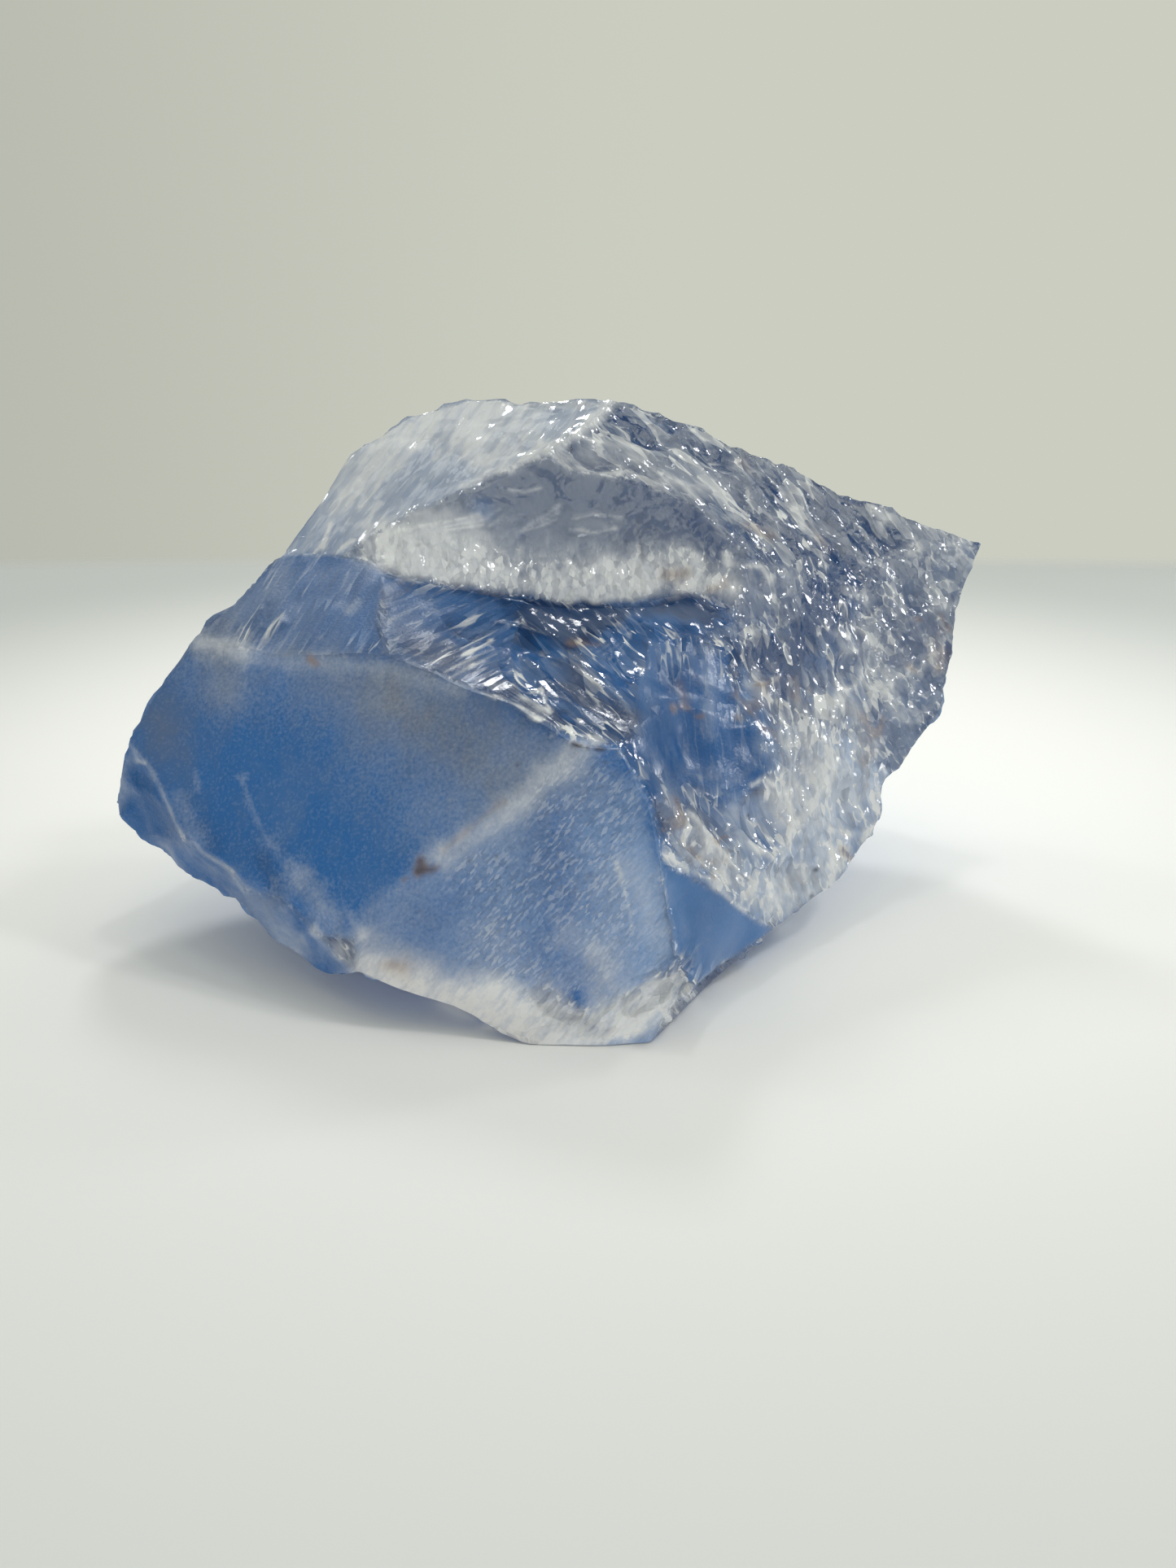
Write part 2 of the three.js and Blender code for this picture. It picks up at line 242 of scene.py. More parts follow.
# ---------------------------------------------------------------- broken faces of the front


class Layer(Enum):
    """What is painted or carved on the stone, by the name of its mask."""

    BLUE = "blue"
    # milky quartz, and also painted highlights and glints
    MILK_AND_GLINT = "milk_and_glint"
    SMOKE = "smoke"
    # deep navy, and also painted shade
    NAVY_AND_SHADE = "navy_and_shade"
    CLEAR = "clear"
    FROST = "frost"
    STREAK = "streak"
    LINE = "line"
    ETCH = "etch"
    STAIN = "stain"
    DARK = "dark"
    BOWLS = "bowls"
    HACKLES = "hackles"
    RELIEF = "relief"


CARVED = (Layer.BOWLS, Layer.HACKLES, Layer.RELIEF)
MASKS = tuple(layer for layer in Layer if layer not in CARVED)
STROKES_ONLY = (Layer.STAIN, Layer.DARK, Layer.RELIEF)


@dataclass(frozen=True)
class BrokenFace:
    """One broken face of the stone, by its outline in the picture plane.

    Args:
        name: what the face is called.
        outline: its corners, in order. The last two faces take what the others leave.
        soft: how far its edge fades, in picture units.
        flow: the direction its streaks run, degrees from u towards v.
        stretch: how many times longer than wide its streaks are.
        blue: how deep its blue is, 0 to 1.
        milk_and_glint: how milky it is; the same mask also carries painted highlights and glints.
        smoke: how smoky violet-grey it is.
        navy_and_shade: how far it darkens to a deep navy, partly its own colour and partly painted shade.
        clear: how much of it is clear quartz.
        frost: how frosted it is.
        streak: how strongly broad streaks ripple it, with painted highlights and shade over its chips and
            ridges.
        line: how many thin white lines, painted glints, run along its streaks.
        etch: how many fine etched dashes it bears, with painted sparkle and shade on them.
        bowls: the depth of its larger shell-shaped bowls, millimetres.
        hackles: the depth of its finer ones, millimetres.
    """

    name: str
    outline: Outline
    soft: float = 6.0
    flow: float = 0.0
    stretch: float = 1.0
    blue: float = 0.0
    milk_and_glint: float = 0.0
    smoke: float = 0.0
    navy_and_shade: float = 0.0
    clear: float = 0.0
    frost: float = 0.0
    streak: float = 0.0
    line: float = 0.0
    etch: float = 0.0
    bowls: float = 0.0
    hackles: float = 0.0

    def share(self, u: np.ndarray, v: np.ndarray) -> np.ndarray:
        """How much each point belongs to the face.

        Args:
            u: how far right each point lies.
            v: how far down each point lies.

        Returns:
            A share from 0 to 1 per point.
        """
        inside = np.zeros(len(u), bool)
        closed = self.outline + self.outline[:1]
        for (u0, v0), (u1, v1) in zip(closed, closed[1:]):
            if v0 != v1:
                crosses = (v0 > v) != (v1 > v)
                inside ^= crosses & (u < u0 + (v - v0) * (u1 - u0) / (v1 - v0))
        nearest = distance_to_path(u, v, closed)
        return smooth(np.where(inside, nearest, -nearest), -self.soft, self.soft)

    def stream(self, u: np.ndarray, v: np.ndarray) -> np.ndarray:
        """Places across and along the face's streaks.

        Args:
            u: how far right each point lies.
            v: how far down each point lies.

        Returns:
            One place per point, in millimetres, squeezed along the streaks. Each face has its own third
            number, so that neighbouring faces don't share their chips.
        """
        angle = math.radians(self.flow)
        long = (u * math.cos(angle) + v * math.sin(angle)) / UNITS_PER_MM
        wide = (v * math.cos(angle) - u * math.sin(angle)) / UNITS_PER_MM
        return np.stack([wide, long / self.stretch, np.full(len(u), len(self.name) * 0.37)], axis=1)


PANE = BrokenFace(
    "frosted pane",
    (
        (155, 905), (200, 815), (237, 776), (295, 795), (330, 803), (480, 806), (550, 832), (640, 868),
        (700, 902), (757, 918), (716, 922), (432, 1155), (392, 1150), (345, 1103), (297, 1092),
        (284, 1070), (245, 1047), (217, 1020), (188, 959),
    ),
    flow=95, stretch=1.8, blue=0.8, smoke=0.75, clear=0.04, frost=1.0, etch=0.1,
)
LOWER_FRONT = BrokenFace(
    "lower front",
    (
        (716, 914), (757, 920), (780, 950), (800, 985), (810, 1040), (818, 1120), (830, 1175), (850, 1195),
        (820, 1240), (800, 1290), (690, 1292), (500, 1225), (438, 1200), (432, 1143),
    ),
    flow=-48, stretch=3.0, blue=0.58, smoke=0.4, milk_and_glint=0.1, clear=0.04, frost=0.8, etch=0.45, navy_and_shade=0.06,
)
SHELF = BrokenFace(
    "striated shelf",
    (
        (228, 782), (270, 745), (350, 680), (400, 681), (450, 688), (472, 706), (462, 760), (475, 806),
        (330, 803), (295, 795),
    ),
    flow=-58, stretch=9.0, blue=0.8, smoke=0.8, navy_and_shade=0.26, clear=0.08, frost=0.8, streak=0.2, line=0.3,
    etch=0.35,
)
UPPER_CHIPS = BrokenFace(
    "upper chips",
    (
        (757, 490), (850, 520), (905, 545), (925, 640), (905, 665), (880, 640), (850, 618), (800, 598),
        (750, 583), (700, 578), (683, 552), (730, 518),
    ),
    flow=38, stretch=4.0, blue=0.15, smoke=0.9, navy_and_shade=0.2, clear=0.35, streak=1.0, line=0.8, bowls=0.16,
    hackles=0.1,
)
CROWN = BrokenFace(
    "clear crown",
    (
        (345, 684), (430, 560), (480, 510), (580, 480), (760, 480), (757, 492), (730, 518), (683, 552),
        (600, 588), (500, 631), (440, 667), (420, 683),
    ),
    flow=-52, stretch=5.0, blue=0.08, milk_and_glint=0.5, smoke=0.35, clear=0.6, streak=0.18, line=0.3, bowls=0.05,
    hackles=0.03,
)
WINDOW = BrokenFace(
    "glassy window",
    (
        (440, 670), (500, 632), (560, 605), (620, 583), (678, 560), (700, 578), (750, 583), (800, 598),
        (850, 618), (880, 640), (905, 665), (920, 690), (900, 745), (870, 732), (845, 727), (790, 740),
        (740, 742), (650, 735), (580, 722), (520, 715), (470, 700),
    ),
    flow=86, stretch=1.6, blue=0.1, milk_and_glint=0.1, smoke=1.0, clear=0.25, streak=0.1, navy_and_shade=0.1,
)
FAN = BrokenFace(
    "feathered fan",
    (
        (468, 703), (520, 715), (580, 722), (620, 728), (640, 760), (625, 800), (640, 868), (550, 832),
        (480, 806),
    ),
    soft=9, flow=-26, stretch=6.0, blue=0.88, smoke=0.3, navy_and_shade=0.34, clear=0.12, frost=0.25, streak=0.32,
    line=0.7, bowls=0.02, hackles=0.03,
)
HOLLOW = BrokenFace(
    "feathered hollow",
    (
        (620, 728), (650, 735), (740, 742), (790, 740), (845, 727), (880, 745), (897, 762), (885, 775),
        (800, 790), (782, 850), (775, 905), (757, 918), (700, 902), (640, 868), (625, 800), (640, 760),
    ),
    soft=9, flow=42, stretch=5.0, blue=0.88, smoke=0.3, navy_and_shade=0.34, clear=0.13, frost=0.08, streak=0.35,
    line=0.8, bowls=0.03, hackles=0.04,
)
TOE = BrokenFace(
    "chipped toe",
    (
        (130, 1000), (150, 905), (166, 912), (195, 962), (225, 1032), (250, 1050), (284, 1070), (300, 1092),
        (345, 1103), (392, 1150), (445, 1200), (420, 1215), (250, 1120), (150, 1040),
    ),
    flow=45, stretch=2.0, blue=1.0, navy_and_shade=0.22, frost=0.5, streak=0.1, line=0.05, bowls=0.12, hackles=0.05,
)
DEEP_CORNER = BrokenFace(
    "deep blue corner",
    (
        (812, 1060), (850, 1080), (890, 1100), (925, 1130), (950, 1142), (900, 1175), (855, 1210),
        (835, 1190), (820, 1120),
    ),
    flow=115, stretch=6.0, blue=0.8, navy_and_shade=0.26, clear=0.06, frost=0.2, streak=0.06,
)
BLUE_BOWL = BrokenFace(
    "blue bowl",
    (
        (785, 930), (775, 870), (800, 790), (850, 785), (900, 800), (905, 850), (940, 900), (948, 945),
        (925, 968), (880, 985), (850, 955), (815, 965),
    ),
    soft=18, flow=84, stretch=6.0, blue=0.85, smoke=0.35, navy_and_shade=0.3, clear=0.12, frost=0.5, streak=0.14,
    line=0.1, hackles=0.02,
)
PALE_SKIRT = BrokenFace(
    "pale skirt",
    (
        (800, 985), (850, 1000), (900, 1040), (945, 1060), (955, 1000), (945, 900), (990, 890), (1060, 890),
        (1100, 980), (1095, 1020), (1060, 1060), (1030, 1100), (940, 1145), (885, 1095), (820, 1050),
    ),
    soft=18, flow=82, stretch=2.5, blue=0.22, milk_and_glint=0.38, clear=0.4, streak=0.8, line=1.0,
    bowls=0.1, hackles=0.1,
)
PETALS = BrokenFace(
    "folded petals",
    (
        (757, 918), (775, 905), (782, 850), (800, 785), (905, 795), (955, 900), (960, 1000), (960, 1060),
        (935, 1140), (900, 1105), (815, 1065), (800, 985), (780, 950),
    ),
    soft=8, flow=62, stretch=4.0, blue=0.72, milk_and_glint=0.08, smoke=0.12, clear=0.2, streak=0.5, line=0.7,
    bowls=0.1, hackles=0.06, navy_and_shade=0.2,
)
MIDDLE_FLANK = BrokenFace(
    "middle flank",
    (
        (900, 700), (1000, 690), (1050, 740), (1075, 800), (1070, 890), (945, 905), (905, 850), (900, 800),
        (885, 775), (897, 762),
    ),
    soft=18, flow=72, stretch=3.0, blue=0.35, milk_and_glint=0.12, smoke=0.75, clear=0.42, streak=1.0, line=1.0,
    bowls=0.2, hackles=0.12, navy_and_shade=0.12,
)
RIGHT_LUMPS = BrokenFace(
    "pale lumps",
    (
        (1060, 700), (1165, 655), (1215, 660), (1175, 770), (1155, 885), (1090, 960), (1070, 880),
        (1075, 800), (1050, 740),
    ),
    soft=18, flow=60, stretch=1.8, blue=0.12, milk_and_glint=0.22, smoke=0.75, clear=0.42, streak=0.8, line=0.6,
    bowls=0.2, hackles=0.04, navy_and_shade=0.07,
)
FLANK = BrokenFace(
    "hackly flank", (), flow=51, stretch=4.0, blue=0.2, smoke=1.0, clear=0.4, streak=1.0, line=1.0,
    bowls=0.32, hackles=0.13, navy_and_shade=0.16,
)
BACK = BrokenFace(
    "back", (), blue=0.72, milk_and_glint=0.06, smoke=0.3, clear=0.2, frost=0.35, streak=0.22, line=0.08, bowls=0.34,
    hackles=0.05,
)
OUTLINED = (
    PANE, LOWER_FRONT, SHELF, UPPER_CHIPS, WINDOW, CROWN, FAN, HOLLOW, TOE, DEEP_CORNER, BLUE_BOWL,
    PALE_SKIRT, PETALS, MIDDLE_FLANK, RIGHT_LUMPS,
)
DETAILED = (FAN, HOLLOW, UPPER_CHIPS, FLANK, MIDDLE_FLANK, PALE_SKIRT, PETALS)


# ---------------------------------------------------------------- marks on the front


@dataclass(frozen=True)
class Stroke:
    """A soft line or spot on the front.

    Args:
        layer: what it changes.
        amount: how much, at its middle: millimetres on the relief, and a share elsewhere.
        width: half its width, in picture units.
        path: the points that it runs through, or one point for a spot.
        ragged: how much its edge and strength wander.
    """

    layer: Layer
    amount: float
    width: float
    path: Outline
    ragged: float = 0.5

    def near(self, u: np.ndarray, v: np.ndarray, reach: float) -> np.ndarray:
        """Which points lie in the box around it.

        Args:
            u: how far right each point lies.
            v: how far down each point lies.
            reach: how far the box is grown.

        Returns:
            Their numbers.
        """
        us, vs = zip(*self.path)
        inside_u = (u > min(us) - reach) & (u < max(us) + reach)
        return np.flatnonzero(inside_u & (v > min(vs) - reach) & (v < max(vs) + reach))

    def add_to(self, total: np.ndarray, u: np.ndarray, v: np.ndarray, wander: np.ndarray) -> None:
        """Adds what it does to a layer's running total, in place.

        Args:
            total: the running total, one value per point.
            u: how far right each point lies.
            v: how far down each point lies.
            wander: noise from -1 to 1 per point, which its edge follows.
        """
        here = self.near(u, v, self.width * 3)
        ragged = self.ragged * min(1.0, 9 / self.width) * wander[here]
        gap = distance_to_path(u[here], v[here], self.path) * (1 + ragged)
        strength = self.amount * (1 - 0.5 * ragged)
        total[here] += strength * np.exp(-((gap / self.width) ** 2))


def marks(layer: Layer, *rows: tuple, ragged: float = 0.5) -> tuple[Stroke, ...]:
    """Strokes that all change one layer.

    Args:
        layer: what they change.
        rows: for each stroke how much, half its width, and the points that it runs through.
        ragged: how much their edges and strength wander.

    Returns:
        The strokes.
    """
    return tuple(Stroke(layer, row[0], row[1], row[2:], ragged) for row in rows)


@dataclass(frozen=True)
class Comb:
    """Thin lines side by side.

    Args:
        layer: what they change.
        amount: how much.
        width: half the width of a line, in picture units.
        first: the points that the first line runs through.
        last: those of the last line, as many as the first has.
        count: how many lines there are.
    """

    layer: Layer
    amount: float
    width: float
    first: Outline
    last: Outline
    count: int

    def strokes(self) -> tuple[Stroke, ...]:
        """Draws the comb's lines.

        Returns:
            One stroke per line.
        """
        lines = []
        for index in range(self.count):
            part = index / max(self.count - 1, 1)
            path = tuple(
                (a[0] + (b[0] - a[0]) * part, a[1] + (b[1] - a[1]) * part)
                for a, b in zip(self.first, self.last)
            )
            lines.append(Stroke(self.layer, self.amount, self.width, path, 0.8))
        return tuple(lines)


@dataclass(frozen=True)
class Flake:
    """A shell-shaped hollow that a flake left.

    Args:
        centre: its middle in the picture plane.
        reach: half its length and half its width, in picture units.
        turn: the direction of its length, degrees from u towards v.
        depth: how deep it is, millimetres.
    """

    centre: Point
    reach: Point
    turn: float
    depth: float

    def _spread(self, u: np.ndarray, v: np.ndarray) -> np.ndarray:
        """How far out places lie.

        Args:
            u: how far right each place lies.
            v: how far down each place lies.

        Returns:
            For each place 0 in the middle, 1 at the rim and more beyond.
        """
        angle = math.radians(self.turn)
        du, dv = u - self.centre[0], v - self.centre[1]
        long = (du * math.cos(angle) + dv * math.sin(angle)) / self.reach[0]
        wide = (dv * math.cos(angle) - du * math.sin(angle)) / self.reach[1]
        return np.hypot(long, wide)

    def inside(self, u: np.ndarray, v: np.ndarray) -> np.ndarray:
        """1 at its middle, falling to 0 at its rim."""
        return np.clip(1 - self._spread(u, v) ** 2, 0, 1)

    def rim(self, u: np.ndarray, v: np.ndarray) -> np.ndarray:
        """How its rim catches the light from above.

        Args:
            u: how far right each place lies.
            v: how far down each place lies.

        Returns:
            For each place more than 0 on the lower side of the rim and less than 0 on its upper side.
        """
        gap = (self._spread(u, v) - 1) * min(self.reach)
        side = np.clip((v - self.centre[1]) / min(self.reach), -1, 1)
        return side * (self.depth / DEEP_FLAKE) ** 2 * np.exp(-((gap / RIM_WIDTH) ** 2))


# pale veils, smoky and blue clouds, the band along the slanting ridge, and small stains
PANE_MARKS = (
    *marks(
        Layer.MILK_AND_GLINT,
        (0.12, 3, (295, 955), (309, 989), (316, 1008), (326, 1028), (340, 1043)),
        (0.12, 11, (334, 1038), (357, 1062), (380, 1089), (399, 1115)),
        (0.14, 17, (362, 1080), (385, 1108), (398, 1135)),
        (0.18, 6, (388, 1140), (405, 1165), (425, 1178), (445, 1196)),
        ragged=0.9,
    ),
    *marks(
        Layer.SMOKE,
        (0.5, 20, (350, 1055), (380, 1095), (405, 1150), (430, 1180)), (0.4, 40, (190, 870), (210, 930)),
        (0.4, 60, (245, 815), (290, 840)), (0.4, 90, (480, 835), (600, 890), (640, 930)),
        (0.4, 60, (205, 850), (215, 930), (230, 1000)),
    ),
    *marks(Layer.ETCH, (0.4, 18, (350, 1055), (380, 1095), (405, 1150), (430, 1180))),
    *marks(
        Layer.MILK_AND_GLINT,
        (0.14, 4, (240, 950), (243, 968)), (0.14, 12, (220, 980), (232, 1010), (245, 1030)),
        (0.16, 20, (318, 1115), (345, 1150), (362, 1170)),
        (0.25, 2.5, (160, 915), (180, 938), (195, 962), (206, 988), (216, 1012), (226, 1034)),
        (0.25, 2.5, (232, 1025), (250, 1049), (270, 1060), (283, 1071), (297, 1092)),
        (0.07, 55, (470, 940), (520, 1000)), (0.07, 34, (530, 1010), (590, 950), (660, 915)),
        (0.12, 16, (352, 1150), (366, 1168)), (0.07, 30, (405, 1120), (410, 1160)),
        (0.1, 6, (428, 1120), (440, 1140), (446, 1152)), (0.5, 13, (240, 785), (270, 792), (300, 803)),
        (0.22, 12, (320, 812), (400, 815), (480, 820), (560, 848)),
        (0.1, 50, (300, 830), (390, 840), (480, 850)), (0.1, 36, (245, 815), (280, 850)),
        (0.45, 17, (716, 918), (680, 945), (640, 980), (590, 1020), (545, 1048)),
        (0.22, 13, (545, 1048), (500, 1085), (455, 1125), (430, 1160)),
        (0.08, 80, (480, 835), (600, 890), (640, 930)),
    ),
    *marks(
        Layer.NAVY_AND_SHADE,
        (0.3, 13, (322, 1055), (333, 1080), (338, 1105)), (0.2, 12, (250, 1020), (262, 1040)),
        (0.12, 34, (250, 1000), (310, 1060)),
    ),
    *marks(
        Layer.BLUE,
        (-0.25, 36, (185, 870), (212, 925)), (0.15, 40, (260, 960), (280, 1040), (320, 1070)),
        (0.2, 26, (310, 805), (320, 840)), (-0.12, 50, (300, 830), (390, 840), (480, 850)),
        (-0.25, 36, (245, 815), (280, 850)), (-0.3, 75, (500, 840), (600, 890), (660, 925)),
        (-0.12, 45, (420, 820), (540, 880), (620, 960)), (0.2, 90, (330, 900), (400, 980), (420, 1060)),
        (0.25, 22, (318, 820), (322, 850)), (0.25, 16, (235, 815), (250, 830)),
    ),
    *marks(
        Layer.STAIN,
        (0.55, 7, (512, 1073), (522, 1068)), (0.45, 5, (530, 1072), (536, 1066)),
        ragged=0.9,
    ),
    *marks(Layer.DARK, (0.4, 6, (514, 1074), (534, 1069)), ragged=0.9),
    *marks(
        Layer.STAIN,
        (0.6, 2.5, (495, 1082), (500, 1079)), (0.25, 5, (545, 1045), (575, 1020), (600, 1000), (620, 985)),
        (0.55, 5, (381, 810), (388, 816)),
    ),
)

# blue cloud under the ridge, sugary rim along the bottom, milky and painted bright as light shining through
# it, and glassy chips at the tip
LOWER_MARKS = (
    *marks(
        Layer.BLUE,
        (0.4, 30, (668, 990), (672, 1060), (685, 1130), (705, 1230)),
        (0.2, 26, (700, 1010), (700, 1060), (710, 1110)), (0.3, 34, (650, 1180), (710, 1215), (760, 1220)),
        (0.9, 16, (700, 1200), (712, 1225), (722, 1248)), (0.8, 12, (690, 1195), (722, 1228), (735, 1240)),
        (0.4, 14, (745, 930), (765, 945)), (0.35, 30, (700, 1200), (715, 1240)),
        (0.3, 35, (560, 1110), (520, 1140)), (-0.3, 20, (790, 1050), (800, 1130), (815, 1170)),
        (-0.3, 40, (690, 1235), (740, 1250), (800, 1230)),
    ),
    *marks(
        Layer.NAVY_AND_SHADE,
        (0.14, 24, (662, 990), (666, 1040), (668, 1080)), (0.2, 30, (460, 1160), (510, 1190)),
        (0.12, 20, (510, 1120), (530, 1130)),
        (-0.3, 22, (560, 1225), (650, 1255), (760, 1255), (820, 1220)),
    ),
    *marks(
        Layer.SMOKE,
        (-0.5, 60, (740, 1060), (760, 1140), (760, 1230)),
        (-0.5, 34, (650, 1180), (710, 1215), (760, 1220)),
        (-0.6, 16, (700, 1200), (712, 1225), (722, 1248)),
    ),
    *marks(
        Layer.MILK_AND_GLINT,
        (0.1, 50, (750, 1090), (760, 1160), (750, 1210)), (0.12, 26, (600, 1150), (650, 1200)),
        (0.8, 16, (560, 1226), (610, 1240), (655, 1260)), (0.5, 22, (600, 1240), (700, 1262), (790, 1250)),
        (0.5, 14, (590, 1200), (625, 1212)), (0.9, 9, (665, 1250), (712, 1268), (770, 1260)),
        (-0.4, 12, (706, 1225), (720, 1245)), (0.7, 12, (770, 1236), (812, 1222)),
        (0.2, 20, (700, 1150), (725, 1170)), (0.45, 30, (620, 1240), (670, 1250)),
        (0.5, 22, (740, 1262), (790, 1245), (820, 1225)),
        (1.0, 30, (460, 1195), (530, 1225), (590, 1252), (650, 1275), (700, 1290)),
        (0.18, 16, (770, 1060), (790, 1100), (800, 1140)), (0.15, 18, (740, 1170), (750, 1200)),
        (0.22, 34, (690, 1240), (740, 1252), (800, 1228)), (0.8, 5, (655, 1238), (690, 1250), (730, 1256)),
        (0.7, 6, (775, 1245), (800, 1230), (835, 1195), (842, 1212)),
    ),
    *marks(
        Layer.STAIN,
        (0.14, 30, (460, 1195), (530, 1225), (590, 1252), (650, 1275)), (0.35, 8, (480, 1185), (495, 1190)),
    ),
    *marks(Layer.MILK_AND_GLINT, (0.35, 3, (758, 1060), (766, 1090), (774, 1120), (777, 1140)), ragged=0.8),
    *marks(
        Layer.ETCH,
        (0.6, 10, (756, 1060), (764, 1090), (772, 1130)), (0.9, 45, (700, 975), (740, 990), (720, 1030)),
        (0.8, 30, (580, 1070), (620, 1110), (610, 1170), (640, 1190)), (0.5, 60, (690, 1080), (740, 1140)),
    ),
    *marks(
        Layer.RELIEF,
        (-0.05, 2.5, (795, 1137), (808, 1130), (820, 1121)),
        (0.08, 4, (650, 1232), (668, 1216), (676, 1208)), (0.09, 4, (696, 1256), (720, 1252), (734, 1262)),
        (0.08, 4, (762, 1228), (780, 1205), (810, 1196), (822, 1180), (846, 1178)),
    ),
    *marks(Layer.STREAK, (0.7, 26, (670, 1235), (740, 1255), (800, 1225), (840, 1195))),
    *marks(Layer.LINE, (0.8, 26, (670, 1235), (740, 1255), (800, 1225), (840, 1195))),
    *marks(
        Layer.CLEAR,
        (0.5, 14, (665, 1225), (700, 1250), (735, 1265)), (0.5, 12, (770, 1235), (800, 1215), (835, 1190)),
    ),
)

# blue and pale parts of the toe
TOE_MARKS = (
    *marks(
        Layer.BLUE,
        (0.3, 26, (170, 965), (200, 1010)), (0.25, 22, (330, 1060), (340, 1085)),
        (0.25, 16, (420, 1190), (400, 1170)),
    ),
    *marks(
        Layer.MILK_AND_GLINT,
        (0.2, 6, (140, 990), (150, 1006)), (0.22, 12, (150, 935), (142, 960), (142, 985)),
        (0.12, 22, (300, 1100), (340, 1140), (365, 1168)), (0.5, 3, (170, 935), (178, 938)),
    ),
    *marks(Layer.RELIEF, (0.3, 14, (160, 1000), (185, 1028)), ragged=0.1),
    *marks(
        Layer.NAVY_AND_SHADE,
        (0.2, 20, (175, 965), (195, 1000), (212, 1022)), (0.12, 26, (255, 770), (310, 800), (312, 850)),
    ),
    *marks(Layer.SMOKE, (-0.5, 30, (175, 965), (195, 1000), (212, 1022))),
    *marks(Layer.MILK_AND_GLINT, (0.08, 6, (205, 1035), (235, 1058), (262, 1070), (290, 1085)), ragged=0.9),
)

# white dashes of the shelf, painted sparkle, and its blue parts
SHELF_MARKS = (
    *marks(
        Layer.LINE,
        (0.8, 9, (306, 782), (314, 764), (322, 750)), (0.8, 8, (332, 776), (346, 768)),
        (0.6, 8, (462, 795), (480, 786), (495, 790)), (-0.6, 20, (474, 700), (474, 750), (482, 802)),
    ),
    *marks(Layer.MILK_AND_GLINT, (0.35, 8, (440, 740), (430, 750)), (0.1, 20, (345, 700), (420, 714))),
    *marks(Layer.RELIEF, (0.06, 5, (308, 780), (322, 752)), (0.07, 5, (334, 776), (346, 766))),
    *marks(
        Layer.BLUE,
        (-0.3, 40, (280, 760), (320, 735)), (0.3, 20, (375, 705), (390, 700)),
        (0.25, 25, (470, 765), (450, 780)),
    ),
    *marks(Layer.FROST, (0.7, 24, (474, 700), (474, 750), (482, 802))),
)

# white streaks beside the outline, painted glints on its ridges, the sugary rim above the window, painted
# as a bright highlight, blue wisps and cloudy parts
CROWN_MARKS = (
    *marks(
        Layer.MILK_AND_GLINT,
        (0.9, 4, (500, 522), (485, 545), (470, 560), (458, 572)),
        (0.8, 4, (480, 528), (455, 548), (440, 562)), (0.8, 3, (540, 508), (520, 514), (505, 512)),
        (0.7, 3, (560, 512), (554, 520)), (0.7, 4, (578, 512), (565, 524), (558, 530)),
        (0.6, 4, (528, 536), (520, 545), (505, 548)), (0.7, 3, (541, 552), (535, 561)),
        (0.8, 3, (467, 618), (458, 630), (449, 643)), (0.7, 3, (435, 664), (422, 672)),
        (0.6, 2.5, (406, 645), (400, 660), (396, 672)), (0.6, 3, (446, 590), (440, 596)),
        (0.5, 4, (420, 570), (430, 562)), (1.0, 7, (757, 494), (742, 505), (730, 515)),
        (0.7, 5, (730, 515), (712, 532), (690, 546)),
        (1.0, 7, (683, 550), (665, 556), (645, 565), (628, 572)),
        (0.5, 5, (628, 572), (600, 585), (570, 598)), (0.45, 34, (580, 530), (635, 512)),
        (0.45, 34, (430, 600), (465, 558), (510, 535), (570, 515)),
        (0.35, 15, (590, 568), (640, 558), (672, 550)),
    ),
    *marks(
        Layer.RELIEF,
        (0.1, 6, (757, 494), (730, 515), (690, 546)), (0.12, 6, (683, 550), (645, 565), (600, 585)),
    ),
    *marks(
        Layer.BLUE,
        (0.8, 6, (540, 608), (525, 616)), (0.8, 7, (490, 630), (470, 640)),
        (0.6, 6, (560, 555), (566, 550)), (0.6, 5, (445, 658), (438, 664)),
        (0.35, 30, (430, 610), (400, 650)),
    ),
    *marks(Layer.NAVY_AND_SHADE, (0.1, 20, (690, 515), (725, 505))),
    *marks(Layer.SMOKE, (0.5, 8, (580, 496), (650, 495), (730, 497))),
)
